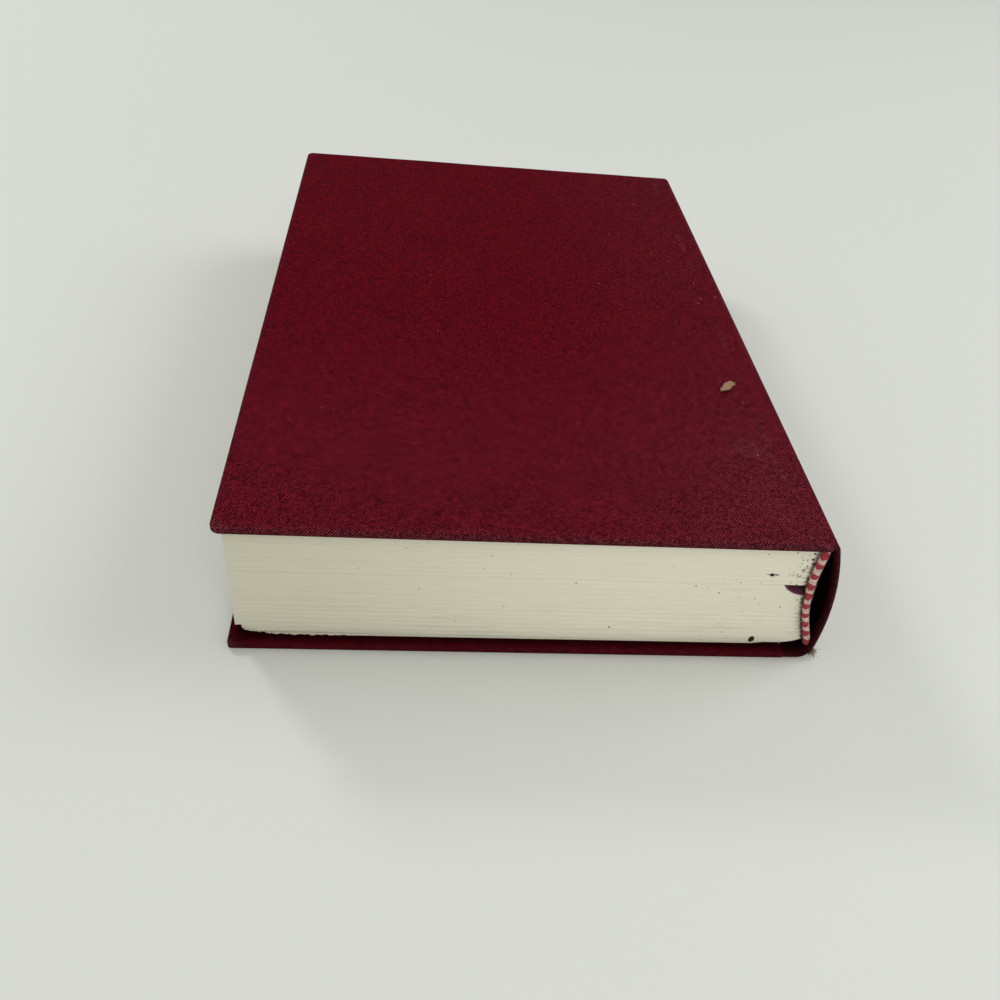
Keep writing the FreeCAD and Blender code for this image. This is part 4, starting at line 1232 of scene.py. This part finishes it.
def pebbles(places, sizes, seed):
    """One small rough grain at each place: a ball of rings from pole to pole, scaled by its
    three sizes and roughened."""
    rng = np.random.default_rng(seed)
    polar = np.linspace(0, np.pi, 6)
    turn = np.linspace(0, 2 * np.pi, 9)[:-1]
    ball = np.stack([
        np.outer(np.sin(polar), np.cos(turn)), np.outer(np.sin(polar), np.sin(turn)),
        np.outer(np.cos(polar), np.ones(8))], -1)
    rough = 1 + 0.2 * rng.uniform(-1, 1, (len(places), 6, 8, 1))
    rough[:, [0, -1]] = 1.0
    points = ball * rough * np.asarray(sizes)[:, None, None] + np.asarray(places)[:, None, None]
    quads = grid_quads(6, 8, ring=True)
    faces = quads + 48 * np.arange(len(places))[:, None, None]
    return points.reshape(-1, 3), faces.reshape(-1, 4)


def fibres(starts, ends, bows, radius):
    """Thin hairs: bent tubes from start to end, whose middle is moved by bow and whose
    radius runs out towards the end."""
    starts, ends, bows = (np.asarray(v, float)[:, None] for v in (starts, ends, bows))
    t = np.linspace(0, 1, 9)[None, :, None]
    line = starts + (ends - starts) * t + 4 * bows * t * (1 - t)
    along = np.gradient(line, axis=1)
    along /= np.linalg.norm(along, axis=2, keepdims=True)
    first = np.cross(along, (0.31, 0.57, 0.76))
    first /= np.linalg.norm(first, axis=2, keepdims=True)
    second = np.cross(along, first)
    turn = np.linspace(0, 2 * np.pi, 6)[:-1]
    size = radius * np.sqrt(np.clip(1 - t ** 4, 0.0, 1.0))
    size[:, 0] = 0.0
    ring = line[:, :, None] + size[..., None] * (
        first[:, :, None] * np.cos(turn)[:, None] + second[:, :, None] * np.sin(turn)[:, None])
    quads = grid_quads(9, 5, ring=True)
    faces = quads + 45 * np.arange(len(line))[:, None, None]
    return ring.reshape(-1, 3), faces.reshape(-1, 4)


class BOOK_OT_dirt(bpy.types.Operator):
    """Scatter the dirt and fibres that lie on the book"""

    bl_idname = "book.dirt"
    bl_label = "Dirt and fibres"

    def execute(self, context):
        rng = np.random.default_rng(3)
        materials = bpy.data.materials
        # Leaf-like flake on the front cover: a pointed oval, cupped and tilted.
        s, t = np.meshgrid(np.linspace(-1, 1, 21), np.linspace(-1, 1, 11), indexing="ij")
        ragged = 1 + wander(s + 0.4 * t, 8, (0.35, 0.9), 0.22)
        half_width = 1.3 * MM * np.sqrt(np.clip(1 - np.abs(s) ** 1.7, 0, 1)) * ragged
        u = 3.5 * MM * s
        v = t * half_width + 0.45 * MM * np.sin(2.4 * s)
        lift = 0.45 * MM * t * t + 0.35 * MM * (1 - s * s) + wander(s - t, 9, (0.6, 0.3), 0.12 * MM)
        turn = math.radians(33)
        x = 0.0597 + u * math.cos(turn) - v * math.sin(turn)
        y = -0.0449 + u * math.sin(turn) + v * math.cos(turn)
        z = TOTAL + 0.15 * MM + lift
        flake, quads = closed_sheet(
            np.stack([x, y, z + 0.12 * MM], -1), np.stack([x, y, z], -1))
        made = put_mesh("dry_flake", flake, quads, materials["Dry leaf flake"])
        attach(made, "front_cover")

        pale = np.array([
            (68.9, 10.0), (61.8, 5.1), (63.5, 8.0), (65.1, 44.2), (63.5, 19.1), (58.2, -41.5),
            (62.6, -52.0), (60.5, -76.2), (65.5, -108.1), (48.0, -54.0)]) * MM
        more = np.stack([rng.uniform(-0.07, 0.07, 34), rng.uniform(-0.108, 0.108, 34)], -1)
        more[:20, 0] = rng.uniform(0.05, 0.07, 20)
        places = np.concatenate([pale, more])
        places = np.concatenate([places, np.full((len(places), 1), TOTAL)], axis=1)
        size = rng.uniform(0.10, 0.22, (len(places), 3)) * MM
        size[:len(pale)] *= 1.4
        size[:, 2] *= 0.6
        points, faces = pebbles(places, size, 13)
        made = put_mesh("pale_specks", points, faces, materials["Pale dust"])
        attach(made, "front_cover")

        grit = np.array([
            (61.4, 4.02, 0.75), (59.6, 29.5, 0.34), (9.56, 24.62, 0.2), (21.07, 7.82, 0.25), (40.83, 24.65, 0.2),
            (44.17, 24.02, 0.16), (47.56, 22.23, 0.26), (65.53, 17.37, 0.22), (52.49, 6.71, 0.2),
            (64.35, 29.66, 0.18), (69.27, 20.27, 0.18), (63.88, 37.64, 0.2), (68.4, 37.5, 0.3),
            (68.6, 35.4, 0.3), (67.9, 33.0, 0.3), (67.2, 31.5, 0.26), (-30.0, 21.0, 0.16),
            (-8.0, 15.0, 0.14), (-45.0, 28.0, 0.14), (-20.0, 9.0, 0.16)])
        near = np.stack([
            rng.normal(67.4, 1.1, 30), rng.normal(29.2, 2.6, 30), rng.uniform(0.06, 0.2, 30)], -1)
        near = near[near[:, 0] < 69.4]
        tiny = np.stack([
            rng.uniform(-60, 69, 30), rng.uniform(5, 39, 30), rng.uniform(0.05, 0.09, 30)], -1)
        grit = np.concatenate([grit, near, tiny])
        places = np.stack([
            grit[:, 0] * MM, np.full(len(grit), HEAD_Y), grit[:, 1] * MM], -1)
        size = grit[:, 2:3] * MM * rng.uniform(0.7, 1.2, (len(grit), 3)) * (1, 0.35, 1)
        size[0] = np.array([0.84, 0.3, 1.16]) * MM
        size[1] = np.array([0.55, 0.35, 0.5]) * MM
        points, faces = pebbles(places, size, 17)
        made = put_mesh("dark_grit", points, faces, materials["Dark grit"])
        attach(made, "book_block")

        # Painted shade: dark rays on the head face stand for the shade inside a star-shaped tear, in the dark
        # grit finish.
        star = np.array([59.88 * MM, HEAD_Y + 0.02 * MM, 29.49 * MM])
        ray = np.array([(-1, 0.15), (-0.5, 0.5), (0.1, 0.6), (0.8, 0.3), (1, -0.1), (0.3, -0.6)])
        starts = np.tile(star, (6, 1))
        ends = starts + np.stack([ray[:, 0] * 1.9, 0 * ray[:, 0], ray[:, 1] * 1.1], -1) * MM
        points, faces = fibres(starts, ends, 0 * starts, 0.08 * MM)
        made = put_mesh("torn_hole_shade", points, faces, materials["Dark grit"])
        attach(made, "book_block")

        band = context.scene.book_band
        glue_share = np.concatenate([rng.uniform(0.42, 0.97, 70), rng.uniform(0.06, 0.5, 46)])
        glue_turn = np.concatenate([rng.normal(0.15, 0.12, 70), rng.normal(2.9, 0.12, 46)])
        ends_of = [
            bead_place(
                np.clip(glue_share + shift, 0, 1), glue_turn, band.radius * rng.uniform(1, 1.12, 116),
                True, band, context.scene.book_pages)
            for shift in (0.0, 0.045)]
        points, faces = fibres(*ends_of, rng.normal(0, 0.06 * MM, (116, 3)), 0.09 * MM)
        made = put_mesh("glue_crumbs", points, faces, materials["Dried glue"])
        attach(made, "book_block")

        count = 110
        base = np.array([78.4, -109.9, 1.9]) * MM
        starts = base + rng.normal(0, 0.4, (count, 3)) * MM
        ends = starts + rng.normal((0.35, -0.35, -0.1), 0.6, (count, 3)) * MM
        ends[:, 2] = np.clip(ends[:, 2], 0.1 * MM, None)
        starts[:, 2] = np.clip(starts[:, 2], 0.2 * MM, None)
        bows = rng.normal(0, 0.3, (count, 3)) * MM
        bows[:, 2] = np.abs(bows[:, 2])
        points, faces = fibres(starts, ends, bows, 0.06 * MM)
        made = put_mesh("frayed_tuft", points, faces, materials["Frayed fibre"])
        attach(made, "book_block")
        return {"FINISHED"}


# Finishes, stage and the add-on's frame


class BOOK_OT_finishes(bpy.types.Operator):
    """Make the materials and give the inner solids theirs"""

    bl_idname = "book.finishes"
    bl_label = "Finishes"

    def execute(self, context):
        scene = context.scene
        band, dirt = scene.book_band, scene.book_dirt
        book_cloth(scene)
        page_edges(scene)
        satin(scene)
        wound_thread("Wound red cotton", band.red, band.faded_red, band.thread)
        wound_thread("Wound white cotton", band.white, band.stained_white, band.thread)
        # Each of these is matt; the comments say what its fibres or grains give the eye.
        # Grey board: recycled pulp, with dark and pale flecks.
        board = grained(
            "Pressed grey board", "#8b8780", "#6e6a63", (0.8 * MM,) * 3, 0.05 * MM, 0.9)
        # Gauze: open, starched and buff.
        gauze = grained("Starched gauze", "#c9c0a6", "#9b9174", (0.5 * MM,) * 3, 0.15 * MM, 0.9)
        # Kraft paper: brown with long fibres.
        kraft = grained(
            "Brown kraft paper", "#8a7350", "#6b5638", (0.4 * MM, 3 * MM, 0.4 * MM), 0.03 * MM,
            0.85)
        tape = grained("Glued cotton tape", "#6b6142", "#4a4430", (0.4 * MM,) * 3, 0.1 * MM, 0.9)
        grained("Twisted cotton cord", "#c9bfa8", "#9d9276", (0.3 * MM,) * 3, 0.1 * MM, 0.9)
        card = grained("Pressed card", "#7a6c54", "#5c503c", (0.7 * MM,) * 3, 0.04 * MM, 0.85)
        paper = plain_paper(scene)
        grained("Dry leaf flake", "#c29a74", "#241008", (0.8 * MM, 0.4 * MM, 0.4 * MM), 0.2 * MM, 0.8)
        grained("Pale dust", "#a88078", "#6e4a46", (0.2 * MM,) * 3, 0.05 * MM, 0.95)
        # Also paints the shade inside the star-shaped tear.
        grained("Dark grit", "#1e1e17", "#0d0d0a", (0.2 * MM,) * 3, 0.05 * MM, 0.9)
        grained("Dried glue", "#5c5230", "#2e2816", (0.4 * MM,) * 3, 0.05 * MM, 0.8)
        grained("Frayed fibre", "#8d8262", "#5a4c36", (0.3 * MM,) * 3, 0.02 * MM, 0.9)
        kept = {
            "front_board": board, "back_board": board, "front_mull_wing": gauze,
            "back_mull_wing": gauze, "spine_mull": gauze, "spine_lining": kraft,
            "head_band_tape": tape, "tail_band_tape": tape, "spine_inlay": card,
            "front_flyleaf": paper,
        }
        for node, finish in kept.items():
            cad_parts[node].data.materials[0] = finish
        return {"FINISHED"}


class BOOK_OT_stage(bpy.types.Operator):
    """Set up the table, the light and the camera"""

    bl_idname = "book.stage"
    bl_label = "Table, light and camera"

    def execute(self, context):
        scene = context.scene
        look = scene.book_stage
        material, tree = start_material("Pale table laminate")
        place = add_node(tree, "ShaderNodeTexCoord").outputs["Object"]
        cloud = stretched_noise(tree, place, (0.5, 0.5, 0.5), 2.0)
        darker = tuple(0.96 * c for c in look.table[:3]) + (1.0,)
        colour = blend_colours(tree, cloud, tuple(look.table), darker)
        end_material(tree, colour, cloud, 0.01 * MM, Roughness=0.6, IOR=1.45)
        half = 4.0
        corners = np.array([(-half, -half), (half, -half), (half, half), (-half, half)])
        points = np.concatenate([corners, np.full((4, 1), -0.05 * MM)], axis=1)
        mesh = bpy.data.meshes.new("table_top")
        mesh.from_pydata(points.tolist(), [], [(0, 1, 2, 3)])
        mesh.materials.append(material)
        table = bpy.data.objects.new("table_top", mesh)
        scene.collection.objects.link(table)

        world = bpy.data.worlds.new("Even room light")
        scene.world = world
        world.use_nodes = True
        world.node_tree.nodes.clear()
        path = add_node(world.node_tree, "ShaderNodeLightPath")
        strength = add_node(
            world.node_tree, "ShaderNodeMix",
            {0: path.outputs["Is Camera Ray"], 2: look.sky_strength, 3: 1.0}, data_type="FLOAT")
        sky = add_node(
            world.node_tree, "ShaderNodeBackground",
            {"Color": linear("#fbfcfa"), "Strength": strength.outputs[0]})
        add_node(world.node_tree, "ShaderNodeOutputWorld", {"Surface": sky.outputs[0]})

        for name, place, power, width in (
                ("Window", (1.28, 0.24, 1.04), look.window_power, 1.12),
                ("Wall", (0.0, -0.80, 0.80), look.wall_power, 0.8),
                ("Lamp", (-0.75, 0.80, 0.85), look.lamp_power, 0.3)):
            light = bpy.data.lights.new(name, "AREA")
            light.energy = power
            light.shape = "DISK"
            light.size = width
            lamp = bpy.data.objects.new(name, light)
            lamp.location = place
            lamp.rotation_euler = (-lamp.location).to_track_quat("-Z", "Y").to_euler()
            scene.collection.objects.link(lamp)

        yaw, pitch, roll = (math.radians(v) for v in (7.99, 41.55, 7.33))
        forward = Vector((
            math.sin(yaw) * math.cos(pitch), math.cos(yaw) * math.cos(pitch), -math.sin(pitch)))
        level_right = forward.cross(Vector((0, 0, 1))).normalized()
        level_up = level_right.cross(forward)
        right = math.cos(roll) * level_right + math.sin(roll) * level_up
        up = -math.sin(roll) * level_right + math.cos(roll) * level_up
        camera = bpy.data.cameras.new("Camera")
        camera.sensor_width = 36.0
        camera.lens = look.lens
        camera.clip_start = 0.01
        viewer = bpy.data.objects.new("Camera", camera)
        viewer.matrix_world = Matrix((
            (right.x, up.x, -forward.x, -0.034167), (right.y, up.y, -forward.y, -0.26244),
            (right.z, up.z, -forward.z, 0.19031), (0, 0, 0, 1)))
        scene.collection.objects.link(viewer)
        scene.camera = viewer
        scene.view_settings.view_transform = "Standard"
        return {"FINISHED"}


OPERATORS = (
    BOOK_OT_finishes,
    BOOK_OT_covers,
    BOOK_OT_spine,
    BOOK_OT_pages,
    BOOK_OT_flyleaf,
    BOOK_OT_folds,
    BOOK_OT_ribbon,
    BOOK_OT_bands,
    BOOK_OT_dirt,
    BOOK_OT_stage,
)


class BOOK_PT_parts(bpy.types.Panel):
    """Lists the steps that build the book"""

    bl_idname = "BOOK_PT_parts"
    bl_label = "Hardback book"
    bl_space_type = "VIEW_3D"
    bl_region_type = "UI"
    bl_category = "Book"

    def draw(self, context):
        for operator in OPERATORS:
            self.layout.operator(operator.bl_idname)


def register():
    for settings in GROUPS.values():
        bpy.utils.register_class(settings)
    for operator in OPERATORS:
        bpy.utils.register_class(operator)
    bpy.utils.register_class(BOOK_PT_parts)
    for name, settings in GROUPS.items():
        setattr(bpy.types.Scene, name, PointerProperty(type=settings))


def unregister():
    for name in GROUPS:
        delattr(bpy.types.Scene, name)
    bpy.utils.unregister_class(BOOK_PT_parts)
    for operator in reversed(OPERATORS):
        bpy.utils.unregister_class(operator)
    for settings in reversed(list(GROUPS.values())):
        bpy.utils.unregister_class(settings)


def main():
    register()
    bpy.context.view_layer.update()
    for operator in OPERATORS:
        group, name = operator.bl_idname.split(".")
        getattr(getattr(bpy.ops, group), name)()


if __name__ == "__main__":
    main()
